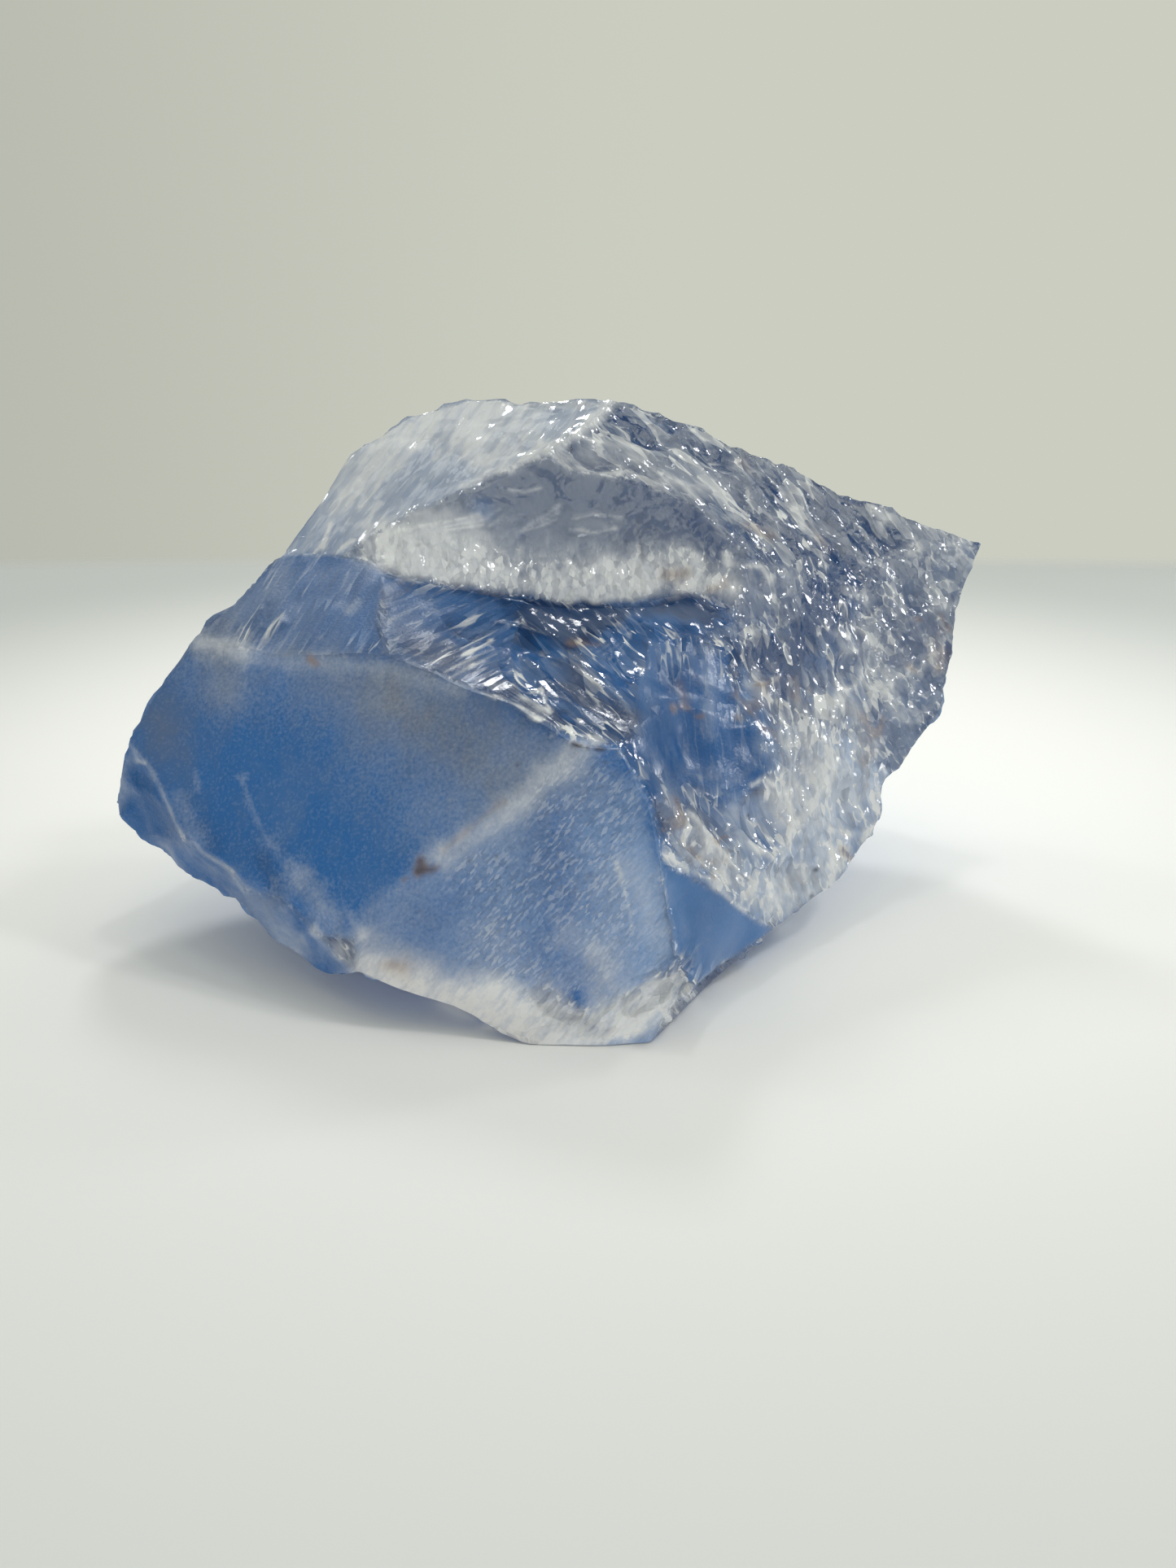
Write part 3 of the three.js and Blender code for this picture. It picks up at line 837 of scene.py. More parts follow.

# creamy lower part, partly milky quartz seen through the window and partly painted light shining through
# from behind, grey violet upper part, ripples painted as bright glints, and flakes under the rim
WINDOW_MARKS = (
    *marks(
        Layer.MILK_AND_GLINT,
        (0.85, 26, (470, 672), (520, 682), (570, 684)), (0.5, 30, (560, 660), (600, 680)),
        (0.3, 26, (490, 655), (530, 640)), (0.9, 14, (690, 724), (760, 724), (800, 714)),
        (0.9, 15, (845, 712), (880, 714), (900, 722)), (0.2, 22, (510, 642), (530, 650)),
        (0.3, 18, (790, 690), (830, 682)), (0.7, 14, (500, 695), (560, 706), (620, 716), (690, 722)),
        (0.75, 18, (690, 716), (740, 708), (790, 715), (840, 700)),
        (0.35, 22, (640, 690), (700, 690), (760, 690)), (0.08, 9, (712, 642), (750, 644)),
        (0.9, 9, (855, 685), (860, 693)), (0.8, 5, (893, 682), (895, 692)),
        (0.9, 5, (547, 697), (560, 703)), (0.4, 2.4, (626, 602), (645, 606), (664, 600)),
        (0.7, 4, (680, 557), (700, 575), (740, 579), (762, 580)),
        (0.5, 3, (690, 548), (712, 562), (716, 565)), (0.6, 3, (708, 536), (730, 542)),
        (0.9, 16, (680, 722), (720, 722), (775, 724)),
    ),
    *marks(
        Layer.STREAK,
        (0.9, 24, (470, 668), (560, 700), (660, 715), (760, 715), (880, 705)),
        (0.7, 22, (500, 690), (640, 708), (760, 705), (850, 700)),
    ),
    *marks(
        Layer.LINE,
        (0.8, 24, (560, 690), (660, 710), (760, 710), (880, 695)),
        (0.7, 14, (840, 690), (890, 690), (905, 712)),
    ),
    *marks(Layer.STAIN, (0.5, 10, (820, 707), (840, 705)), (0.4, 7, (872, 724), (890, 720))),
    *marks(
        Layer.NAVY_AND_SHADE,
        (0.16, 30, (760, 600), (820, 630), (880, 670)), (0.12, 30, (640, 590), (700, 600), (760, 610)),
        (0.12, 26, (690, 600), (760, 610), (800, 640)),
    ),
    *marks(Layer.BLUE, (0.4, 10, (590, 625), (600, 632))),
    *marks(
        Layer.RELIEF,
        (0.05, 3.5, (612, 602), (640, 606), (665, 603)), (0.05, 3, (705, 636), (730, 631), (765, 638)),
        (0.05, 3, (700, 655), (735, 656), (752, 651)), (0.05, 3.5, (600, 648), (660, 636), (688, 622)),
        (0.04, 3.5, (492, 656), (540, 644), (588, 634)),
    ),
    *marks(Layer.CLEAR, (-0.3, 20, (680, 722), (720, 722), (775, 724))),
)

# dark band under the crest, and white feathers painted as bright glints
HOLLOW_MARKS = (
    *marks(
        Layer.NAVY_AND_SHADE,
        (0.45, 9, (560, 724), (620, 738), (700, 752), (760, 752), (800, 748), (845, 738), (875, 750)),
        (0.4, 16, (680, 752), (750, 758)), (0.5, 24, (655, 760), (700, 775), (720, 760)),
        (0.25, 18, (755, 875), (770, 890)), (0.2, 18, (600, 832), (630, 842)),
        (0.3, 16, (655, 872), (680, 885)), (0.25, 16, (700, 800), (716, 840)),
        (0.6, 12, (835, 742), (860, 748)), (0.25, 34, (480, 745), (530, 785), (570, 800)),
        (0.7, 20, (655, 762), (725, 768)), (0.45, 24, (500, 795), (545, 808)),
        (0.4, 16, (822, 745), (872, 756)), (0.4, 20, (700, 830), (740, 870), (765, 885)),
        (0.4, 14, (600, 838), (660, 880), (720, 900)),
    ),
    *marks(Layer.CLEAR, (-0.4, 30, (655, 760), (700, 775), (720, 760))),
    *marks(Layer.SMOKE, (-0.5, 30, (655, 760), (720, 768), (790, 762))),
    *marks(
        Layer.MILK_AND_GLINT,
        (-0.4, 24, (655, 760), (720, 768), (790, 762)),
        (-0.2, 60, (480, 770), (560, 790), (650, 820), (740, 870)),
        (-0.3, 14, (500, 725), (600, 738), (700, 750), (790, 752), (845, 745), (885, 760)),
    ),
    *marks(
        Layer.BLUE,
        (0.2, 60, (480, 770), (560, 790), (650, 820), (740, 870)),
        (0.5, 13, (500, 722), (600, 735), (700, 750), (790, 752), (845, 745), (888, 762)),
        (0.5, 16, (835, 745), (870, 755)),
    ),
    *marks(
        Layer.LINE,
        (-0.9, 14, (800, 750), (840, 745), (870, 755)), (0.9, 9, (628, 842), (650, 848), (668, 846)),
        (0.9, 9, (665, 838), (672, 865), (690, 888), (708, 902)),
        (0.8, 12, (540, 822), (570, 808), (605, 798)), (0.7, 10, (604, 764), (640, 775), (672, 784)),
        (0.7, 12, (720, 785), (745, 778), (775, 775)), (0.6, 12, (740, 800), (770, 792)),
        (0.6, 14, (650, 812), (700, 850), (750, 895)), (0.5, 10, (800, 780), (808, 830)),
        (-0.5, 12, (540, 728), (620, 745), (700, 758), (800, 758), (860, 752)),
        (-0.4, 30, (500, 745), (520, 785)), (-0.6, 20, (655, 762), (725, 768)),
        (-0.5, 18, (690, 868), (765, 885)),
    ),
    *marks(
        Layer.STREAK,
        (-0.5, 14, (560, 728), (700, 754), (800, 752), (840, 745), (870, 755)),
        (-0.3, 20, (655, 762), (725, 768)), (-0.2, 18, (690, 868), (765, 885)),
        (-0.2, 24, (500, 795), (545, 808)),
    ),
    *marks(
        Layer.FROST,
        (0.5, 40, (490, 745), (520, 785), (560, 800)),
        (0.4, 20, (660, 876), (700, 850), (735, 880), (765, 890)),
    ),
    *marks(
        Layer.MILK_AND_GLINT,
        (0.7, 2, (630, 841), (648, 846), (664, 842), (668, 834)),
        (0.7, 2.4, (666, 840), (671, 862), (676, 876)),
        (0.35, 1.8, (592, 852), (615, 858), (640, 869), (662, 880), (690, 896), (745, 912)),
        (0.45, 1.6, (606, 762), (640, 772), (665, 778), (672, 782)),
        ragged=0.9,
    ),
    *marks(Layer.STAIN, (0.35, 4, (700, 790), (735, 792))),
    *marks(
        Layer.RELIEF,
        (0.06, 4, (628, 840), (665, 842), (675, 875), (705, 900)), (0.05, 4, (606, 762), (672, 782)),
        (-0.06, 9, (640, 815), (700, 840), (760, 880)),
    ),
)

# blue bowl and its neighbours, petals beside it, and the rest of the flank, with painted shade in its
# grooves and painted highlights on its ridges
FLANK_MARKS = (
    *marks(
        Layer.BLUE,
        (0.2, 20, (838, 860), (850, 935)), (0.2, 22, (905, 890), (920, 945)),
        (0.3, 26, (932, 790), (950, 815)), (0.25, 30, (900, 790), (850, 790), (810, 900)),
        (0.2, 40, (850, 1000), (870, 1040), (900, 1060)),
        (0.4, 14, (765, 900), (790, 945), (812, 1000), (815, 1050)), (0.35, 16, (848, 990), (866, 1030)),
        (0.5, 18, (935, 800), (950, 815)), (0.4, 15, (975, 910), (985, 940)),
        (0.45, 16, (950, 1010), (945, 1040)), (0.5, 12, (1075, 1000), (1080, 1020)),
        (0.4, 25, (830, 1020), (815, 985)), (0.45, 14, (1010, 780), (1020, 810)),
        (0.4, 18, (1010, 710), (1045, 740)), (0.35, 20, (800, 530), (790, 540)),
    ),
    *marks(
        Layer.NAVY_AND_SHADE,
        (0.16, 18, (838, 850), (850, 935)), (0.14, 20, (905, 890), (915, 940)),
        (0.45, 24, (932, 790), (950, 815)), (0.28, 45, (960, 600), (1010, 680), (1060, 690), (1010, 760)),
        (0.2, 30, (955, 800), (965, 880), (955, 960)), (0.2, 30, (850, 640), (870, 660)),
        (0.1, 45, (1060, 760), (1140, 780), (1130, 850)), (0.24, 26, (900, 790), (850, 790), (830, 830)),
        (0.2, 22, (800, 880), (812, 940), (850, 1000)), (0.35, 22, (1005, 870), (1015, 890)),
        (0.14, 34, (850, 1000), (870, 1040), (890, 1080)), (0.3, 14, (1000, 1080), (1010, 1085)),
        (0.15, 26, (860, 1130), (850, 1180)), (0.2, 12, (775, 920), (800, 965), (812, 1010)),
    ),
    *marks(
        Layer.RELIEF,
        (-0.12, 16, (838, 840), (850, 940)), (-0.1, 18, (905, 885), (915, 950)),
        (0.1, 12, (868, 800), (872, 880), (880, 960)), (0.1, 14, (785, 910), (800, 950), (820, 985)),
        (0.1, 4, (812, 985), (835, 1040), (880, 1085)), (0.1, 4, (850, 1000), (880, 1040), (905, 1070)),
        (0.12, 5, (820, 1045), (855, 1075), (890, 1092), (905, 1105)),
        (-0.1, 5, (870, 735), (900, 755), (960, 750)),
    ),
    *marks(
        Layer.MILK_AND_GLINT,
        (0.14, 16, (785, 910), (800, 950), (820, 985)), (0.16, 10, (868, 800), (870, 850), (874, 900)),
        (-0.4, 26, (932, 790), (950, 815)), (-0.14, 60, (1060, 690), (1120, 760), (1130, 820), (1150, 720)),
        (0.3, 16, (905, 1000), (915, 1010)), (0.2, 22, (1000, 915), (1015, 940), (960, 1000)),
        (-0.2, 14, (765, 900), (790, 945), (812, 1000), (815, 1050)),
        (0.2, 26, (860, 1040), (915, 1080), (960, 1090)), (0.35, 22, (950, 985), (965, 1010)),
        (0.3, 20, (1060, 880), (1062, 930), (1062, 980)), (0.6, 3, (846, 998), (872, 1030), (905, 1068)),
        (0.2, 28, (940, 740), (975, 715)), (0.15, 50, (1120, 670), (1170, 690), (1140, 800)),
        (0.35, 30, (1070, 800), (1090, 830)), (0.2, 26, (980, 880), (1000, 970)),
        (0.3, 30, (1010, 960), (1020, 1050), (960, 1100)), (0.9, 7, (1075, 625), (1088, 636)),
        (0.8, 4, (918, 695), (935, 697), (946, 712)), (0.6, 4, (1060, 1030), (1078, 1015)),
        (0.7, 3, (882, 1070), (892, 1075), (897, 1085)), (0.6, 3, (925, 965), (940, 955), (950, 965)),
        (0.5, 2.5, (920, 1035), (945, 1052), (958, 1065)),
    ),
    *marks(
        Layer.STAIN,
        (0.3, 12, (1150, 790), (1155, 806)), (0.3, 7, (840, 838), (846, 862)),
        (0.25, 7, (914, 860), (930, 884)), (0.2, 12, (940, 850), (955, 840)),
        (0.3, 7, (1064, 884), (1070, 926)), (0.35, 6, (831, 986), (837, 1003)),
        (0.3, 7, (852, 1046), (878, 1060)),
        ragged=1.5,
    ),
    *marks(Layer.LINE, (-0.4, 14, (765, 900), (790, 945), (812, 1000), (815, 1050))),
    *marks(
        Layer.MILK_AND_GLINT,
        (0.6, 3, (815, 1048), (845, 1070), (870, 1082), (893, 1102), (915, 1120)),
        ragged=0.9,
    ),
    *marks(Layer.STAIN, (0.45, 6, (1035, 1045), (1045, 1055))),
    *marks(
        Layer.SMOKE,
        (0.9, 30, (940, 740), (975, 715)), (0.5, 50, (1080, 700), (1130, 760)),
        (0.7, 14, (940, 660), (950, 675)),
    ),
    *marks(Layer.STREAK, (-0.6, 26, (940, 740), (975, 715))),
    *marks(Layer.RELIEF, (0.12, 4, (905, 1020), (945, 1052), (960, 1070)), ragged=0.15),
)


# dark specks
SPECKS = (
    *marks(
        Layer.DARK,
        (0.9, 2.6, (706, 915), (714, 917)), (0.8, 2.4, (722, 919)), (0.8, 2.6, (733, 921), (741, 921)),
        (0.7, 2.4, (744, 937)), (0.6, 2.2, (636, 940)), (0.6, 2.2, (610, 1052)), (0.5, 2.2, (577, 1058)),
        (0.5, 2.4, (516, 1120)), (0.8, 2.6, (927, 1002)), (0.8, 2.8, (1003, 1069)), (0.7, 2.6, (997, 1101)),
        (0.6, 2.4, (770, 665)), (0.35, 2.0, (782, 640), (786, 660), (790, 690)),
    ),
    *marks(Layer.DARK, (0.55, 5, (512, 1071), (532, 1068)), ragged=1.2),
)

# painted highlights on the flank's raised chips and painted shade in its grooves, side by side
FLANK_LIGHT_AND_SHADE = (
    *marks(
        Layer.MILK_AND_GLINT,
        (0.4, 18, (700, 562), (745, 556), (800, 562), (850, 596), (905, 602)),
        (0.4, 6, (868, 598), (895, 620), (918, 648), (945, 672)),
        (0.3, 6, (822, 590), (862, 622), (893, 660)), (0.3, 7, (905, 560), (930, 580)),
        (0.3, 7, (962, 572), (990, 592), (1012, 612)), (0.3, 6, (972, 628), (1000, 660)),
        (0.25, 8, (1012, 640), (1040, 665), (1060, 690)), (0.3, 7, (1098, 720), (1108, 745)),
        (0.3, 7, (1060, 722), (1070, 742)), (0.3, 7, (1060, 770), (1074, 790)),
        (0.3, 6, (1028, 778), (1040, 800)), (0.35, 6, (1094, 822), (1100, 842)),
        (0.3, 5, (735, 542), (770, 548), (800, 582), (818, 592)),
        (0.25, 9, (930, 790), (926, 830), (940, 860)), (-0.3, 20, (1010, 715), (1010, 765), (962, 800)),
    ),
    *marks(
        Layer.NAVY_AND_SHADE,
        (0.35, 9, (800, 536), (850, 548), (890, 570)), (0.75, 14, (845, 625), (866, 648), (880, 668)),
        (0.45, 22, (960, 602), (1010, 640), (1060, 675)), (0.3, 26, (965, 680), (1010, 700)),
        (0.75, 20, (1010, 715), (1010, 765), (962, 800), (930, 802)), (0.3, 18, (950, 878), (1010, 880)),
        (0.2, 30, (1120, 760), (1160, 760), (1160, 800)), (0.25, 20, (680, 845), (760, 880)),
        (0.2, 24, (840, 1000), (900, 1045)), (0.2, 24, (860, 630), (720, 520)),
        (0.4, 9, (895, 600), (925, 640), (940, 662)), (0.35, 9, (958, 608), (990, 640), (1030, 690)),
        (0.35, 8, (1000, 582), (1035, 605), (1060, 622)), (0.35, 10, (1030, 690), (1045, 730)),
        (0.25, 10, (1110, 662), (1150, 690)), (0.35, 11, (980, 812), (1008, 850)),
        (0.3, 9, (1020, 735), (1048, 770)), (0.3, 8, (880, 560), (915, 585), (950, 600)),
        (0.35, 8, (940, 800), (950, 818)), (0.3, 9, (690, 546), (725, 566), (745, 574)),
        (0.3, 8, (900, 820), (905, 850), (912, 880)),
    ),
    *marks(Layer.LINE, (-0.5, 20, (1010, 715), (1010, 765), (962, 800))),
    *marks(
        Layer.STAIN,
        (0.3, 6, (912, 566), (920, 572)), (0.35, 6, (916, 646), (950, 658)),
        (0.3, 5, (1005, 660), (1015, 672)),
    ),
    *marks(
        Layer.RELIEF,
        (0.1, 6, (868, 598), (895, 620), (918, 648), (945, 672)),
        (-0.12, 8, (895, 605), (925, 642), (950, 690)), (0.12, 6, (962, 572), (990, 592), (1012, 612)),
        (-0.12, 8, (958, 608), (990, 640), (1030, 690)), (-0.1, 8, (1020, 735), (1048, 770)),
    ),
)

# sets of thin lines
COMBS = (
    # ripples of the window, painted as bright glints
    Comb(
        Layer.MILK_AND_GLINT, 0.34, 2, ((648, 645), (668, 635), (687, 622)),
        ((640, 653), (660, 648), (684, 638)), 3,
    ),
    Comb(
        Layer.MILK_AND_GLINT, 0.36, 2, ((704, 638), (730, 632), (763, 636)),
        ((698, 650), (732, 655), (756, 650)), 2,
    ),
    Comb(
        Layer.MILK_AND_GLINT, 0.34, 2, ((490, 657), (540, 644), (588, 634)),
        ((500, 664), (545, 652), (594, 645)), 3,
    ),
    Comb(
        Layer.MILK_AND_GLINT, 0.2, 2, ((594, 640), (604, 632), (614, 626)),
        ((600, 648), (610, 640), (618, 634)), 2,
    ),
    Comb(
        Layer.MILK_AND_GLINT, 0.1, 2.5, ((636, 655), (637, 675), (640, 695)),
        ((781, 645), (783, 660), (785, 690)), 5,
    ),
    # thin feathers of the hollow, painted as bright glints
    Comb(
        Layer.MILK_AND_GLINT, 0.45, 1.5, ((545, 827), (575, 812), (607, 798)),
        ((553, 833), (580, 818), (610, 804)), 2,
    ),
    Comb(
        Layer.MILK_AND_GLINT, 0.22, 1.5, ((500, 800), (540, 782), (580, 768)),
        ((545, 826), (575, 810), (606, 797)), 6,
    ),
    Comb(
        Layer.MILK_AND_GLINT, 0.4, 1.5, ((600, 842), (630, 864), (664, 886)),
        ((622, 836), (652, 856), (676, 878)), 6,
    ),
    Comb(
        Layer.MILK_AND_GLINT, 0.22, 1.5, ((640, 812), (700, 850), (762, 900)),
        ((668, 796), (722, 822), (772, 868)), 7,
    ),
    Comb(
        Layer.MILK_AND_GLINT, 0.3, 1.5, ((771, 775), (748, 786), (726, 798)),
        ((776, 778), (768, 796), (756, 812)), 5,
    ),
    # upright veins over the blue bowl and the skirt
    Comb(
        Layer.MILK_AND_GLINT, 0.25, 2, ((957, 830), (960, 900), (965, 975)),
        ((1040, 830), (1030, 900), (1020, 980)), 8,
    ),
    Comb(Layer.LINE, 0.5, 7, ((790, 780), (795, 810)), ((900, 790), (905, 830)), 6),
    Comb(
        Layer.BLUE, 0.3, 5, ((966, 850), (972, 900), (978, 960)),
        ((1050, 850), (1040, 900), (1030, 960)), 4,
    ),
)

# chips of the tip, bowls and scoops
FLAKES = (
    Flake((822, 1012), (34, 9), 62, 0.22),
    Flake((858, 1045), (46, 12), 48, 0.25),
    Flake((690, 1240), (36, 16), 25, 0.3),
    Flake((795, 1225), (38, 16), -32, 0.3),
    Flake((838, 1200), (14, 22), 10, 0.2),
    Flake((725, 560), (42, 16), 25, 0.35),
    Flake((800, 540), (34, 12), 12, 0.3),
    Flake((720, 850), (70, 18), 35, 0.25),
    Flake((870, 900), (70, 52), 35, 0.12),
    Flake((940, 1012), (30, 40), -15, 0.35),
    Flake((937, 812), (26, 28), 0, 0.35),
    Flake((1085, 815), (26, 34), 20, 0.35),
    Flake((1040, 825), (18, 22), 0, 0.3),
    Flake((920, 845), (14, 20), 10, 0.25),
    Flake((950, 742), (44, 30), -20, 0.2),
    Flake((1120, 840), (34, 46), 10, 0.25),
    Flake((1045, 990), (40, 34), 10, 0.25),
    Flake((985, 960), (16, 50), 5, 0.2),
    # lumps and shells of the flank
    Flake((1125, 730), (26, 34), 30, 0.2),
    Flake((1062, 745), (20, 30), 20, 0.2),
    Flake((1010, 640), (40, 14), 52, 0.25),
    Flake((925, 620), (44, 13), 52, 0.25),
    Flake((870, 560), (38, 12), 28, 0.25),
    Flake((1090, 655), (34, 14), 30, 0.25),
    Flake((975, 1075), (34, 22), 20, 0.2),
    Flake((880, 1010), (46, 16), 55, 0.22),
    Flake((1035, 905), (16, 40), 0, 0.2),
    Flake((575, 780), (60, 16), -28, 0.12),
    Flake((650, 835), (46, 20), 40, 0.25),
    Flake((770, 805), (26, 40), 10, 0.2),
)

# the direction that the back's streaks run, and how far places are squeezed along it to stretch them
BACK_GRAIN = np.array((0.46, 0.25, 0.85))
BACK_SQUEEZE = 0.75

# edges that are worn round: a path beside each, and how far from it they lie, picture units
WORN_EDGES = (
    (((470, 712), (466, 750), (474, 798)), 14),
)

STROKES = (
    *PANE_MARKS, *LOWER_MARKS, *TOE_MARKS, *SHELF_MARKS, *CROWN_MARKS, *WINDOW_MARKS, *HOLLOW_MARKS,
    *FLANK_MARKS, *FLANK_LIGHT_AND_SHADE, *SPECKS, *(stroke for comb in COMBS for stroke in comb.strokes()),
)


# ---------------------------------------------------------------- the stone's surface


@dataclass
class StoneSurface:
    """The visible surface of the stone, made from a merged copy of its solid.

    Args:
        solid: the stone's solid.
        camera: the camera that the front's outlines and strokes are seen from.
        crease_angle: broken edges sharper than this stay sharp, degrees.
        crease: how hard the sharp edges stay, 0 to 1.
        levels: how often the whole surface is subdivided.
        back_share: the share of faces that the hidden side keeps afterwards.
        detail_size: the widest face left where there is fine detail, millimetres.
        mark_size: the widest face left beside thin marks, millimetres.
        thin_mark: marks narrower than this are thin, in picture units.
        chipped_from: how far right the chipped flank begins, in picture units.
        ripple_size: how far apart the hills are of the noise that marks wander by, millimetres.
        bowl_size: how wide the larger bowls are, millimetres along the streaks.
        hackle_size: how wide the finer ones are.
        cloud_size: how far apart the blue clouds lie, millimetres.
        mottle_size: how far apart the mottling lies.
        zone_size: how far apart the glassy and the frosted parts of the back lie.
        veil_size: how far apart the milky veils of the back lie.
    """

    solid: bpy.types.Object
    camera: Camera
    crease_angle: float = 26.0
    crease: float = 0.95
    levels: int = 2
    back_share: float = 0.22
    detail_size: float = 0.13
    mark_size: float = 0.11
    thin_mark: float = 8.0
    chipped_from: float = 760.0
    ripple_size: float = 0.45
    bowl_size: float = 0.85
    hackle_size: float = 0.36
    cloud_size: float = 4.0
    mottle_size: float = 0.9
    zone_size: float = 5.0
    veil_size: float = 3.0
    piece: bpy.types.Object = field(init=False)

    def build(self) -> bpy.types.Object:
        """Makes the surface and paints its masks.

        Returns:
            The finished piece.
        """
        self.piece = self._copy()
        self._refine()
        self._thin_back()
        for _ in range(2):
            self._split(self._detailed_faces())
        for _ in range(2):
            self._split(self._marked_faces())
        self._read()
        self._carve()
        self._paint()
        return self.piece

    def _copy(self) -> bpy.types.Object:
        """Copies the solid and merges its loose triangles.

        Returns:
            The copy.
        """
        piece = bpy.data.objects.new("blue_quartz_surface", self.solid.data.copy())
        bpy.context.scene.collection.objects.link(piece)
        bpy.ops.object.select_all(action="DESELECT")
        piece.select_set(True)
        bpy.context.view_layer.objects.active = piece
        bpy.ops.object.mode_set(mode="EDIT")
        bpy.ops.mesh.select_all(action="SELECT")
        bpy.ops.mesh.remove_doubles(threshold=0.0005 * MM)
        bpy.ops.mesh.customdata_custom_splitnormals_clear()
        bpy.ops.object.mode_set(mode="OBJECT")
        return piece

    def _refine(self) -> None:
        """Creases the broken edges and subdivides the surface."""
        bpy.ops.object.mode_set(mode="EDIT")
        bpy.ops.mesh.select_all(action="DESELECT")
        bpy.ops.mesh.select_mode(type="EDGE")
        bpy.ops.mesh.edges_select_sharp(sharpness=math.radians(self.crease_angle))
        self._spare_worn_edges()
        bpy.ops.transform.edge_crease(value=self.crease)
        bpy.ops.mesh.mark_sharp()
        bpy.ops.mesh.select_mode(type="FACE")
        bpy.ops.mesh.select_all(action="SELECT")
        bpy.ops.mesh.tris_convert_to_quads(
            face_threshold=math.radians(30), shape_threshold=math.radians(60), sharp=True
        )
        bpy.ops.mesh.select_all(action="DESELECT")
        bpy.ops.object.mode_set(mode="OBJECT")
        subdivision = self.piece.modifiers.new("fine surface", "SUBSURF")
        subdivision.levels = self.levels
        subdivision.render_levels = self.levels
        bpy.ops.object.modifier_apply(modifier=subdivision.name)

    def _spare_worn_edges(self) -> None:
        """Deselects the edges that are worn round."""
        bpy.ops.object.mode_set(mode="OBJECT")
        mesh = self.piece.data
        ends = np.empty(len(mesh.edges) * 2, int)
        mesh.edges.foreach_get("vertices", ends)
        place = np.empty(len(mesh.vertices) * 3)
        mesh.vertices.foreach_get("co", place)
        middle = place.reshape(-1, 3)[ends.reshape(-1, 2)].mean(axis=1)
        u, v = self.camera.picture(middle)
        facing = middle[:, 1] < 0
        for path, reach in WORN_EDGES:
            for index in np.flatnonzero((distance_to_path(u, v, path) < reach) & facing):
                mesh.edges[index].select = False
        bpy.ops.object.mode_set(mode="EDIT")

    def _thin_back(self) -> None:
        """Leaves fewer faces on the side that is plain."""
        self._read()
        hidden = np.flatnonzero(self.front < 0.01)
        group = self.piece.vertex_groups.new(name="plain_side")
        group.add(hidden.tolist(), 1.0, "REPLACE")
        thinning = self.piece.modifiers.new("thin plain side", "DECIMATE")
        thinning.vertex_group = group.name
        thinning.ratio = 1 - len(hidden) / len(self.points) * (1 - self.back_share)
        bpy.ops.object.modifier_apply(modifier=thinning.name)
        self.piece.vertex_groups.clear()

    def _faces(self) -> tuple[np.ndarray, np.ndarray, np.ndarray, np.ndarray]:
        """Measures the faces.

        Returns:
            The u and v of each face's middle, its width in millimetres and whether it faces the camera.
        """
        faces = self.piece.data.polygons
        centre = np.empty(len(faces) * 3)
        faces.foreach_get("center", centre)
        normal = np.empty(len(faces) * 3)
        faces.foreach_get("normal", normal)
        area = np.empty(len(faces))
        faces.foreach_get("area", area)
        centre = centre.reshape(-1, 3)
        towards = np.array(self.camera.place) - centre
        seen = np.einsum("ij,ij->i", towards, normal.reshape(-1, 3)) > 0
        u, v = self.camera.picture(centre)
        return u, v, np.sqrt(area) / MM, seen

    def _detailed_faces(self) -> np.ndarray:
        """Finds the wide faces where the stone has fine detail.

        Returns:
            True for each such face.
        """
        u, v, width, seen = self._faces()
        detailed = sum(face.share(u, v) for face in DETAILED if face.outline) > 0.3
        plain = sum(face.share(u, v) for face in OUTLINED if face not in DETAILED) > 0.7
        detailed |= (u > self.chipped_from) & ~plain
        return detailed & seen & (width > self.detail_size)

    def _marked_faces(self) -> np.ndarray:
        """Finds the wide faces beside thin marks.

        Returns:
            True for each such face.
        """
        u, v, width, seen = self._faces()
        marked = np.zeros(len(u), bool)
        for mark in STROKES:
            if mark.width < self.thin_mark:
                reach = mark.width * 1.6 + 4
                here = mark.near(u, v, reach)
                marked[here] |= distance_to_path(u[here], v[here], mark.path) < reach
        return marked & seen & (width > self.mark_size)

    def _split(self, chosen: np.ndarray) -> None:
        """Cuts each chosen face into four.

        Args:
            chosen: True for each face to cut.
        """
        mesh = self.piece.data
        for parts in (mesh.vertices, mesh.edges):
            parts.foreach_set("select", np.zeros(len(parts), bool))
        mesh.polygons.foreach_set("select", chosen)
        bpy.ops.object.mode_set(mode="EDIT")
        bpy.ops.mesh.subdivide(number_cuts=1, quadcorner="FAN")
        bpy.ops.mesh.select_all(action="DESELECT")
        bpy.ops.mesh.select_face_by_sides(number=4, type="GREATER")
        bpy.ops.mesh.quads_convert_to_tris(quad_method="BEAUTY", ngon_method="BEAUTY")
        bpy.ops.mesh.select_all(action="DESELECT")
        bpy.ops.object.mode_set(mode="OBJECT")

    def _read(self) -> None:
        """Reads the fine points, which way they face and where they show, and shares them out."""
        mesh = self.piece.data
        flat = np.empty(len(mesh.vertices) * 3)
        mesh.vertices.foreach_get("co", flat)
        self.points = flat.reshape(-1, 3)
        normals = np.empty(len(mesh.vertices) * 3)
        mesh.vertex_normals.foreach_get("vector", normals)
        self.facing = normals.reshape(-1, 3)
        self.u, self.v = self.camera.picture(self.points)
        towards = np.array(self.camera.place) - self.points
        towards /= np.linalg.norm(towards, axis=1)[:, None]
        self.front = smooth(np.einsum("ij,ij->i", towards, self.facing), -0.05, 0.12)
        self.low = smooth(self.points[:, 2] / MM, 0.05, 0.5)

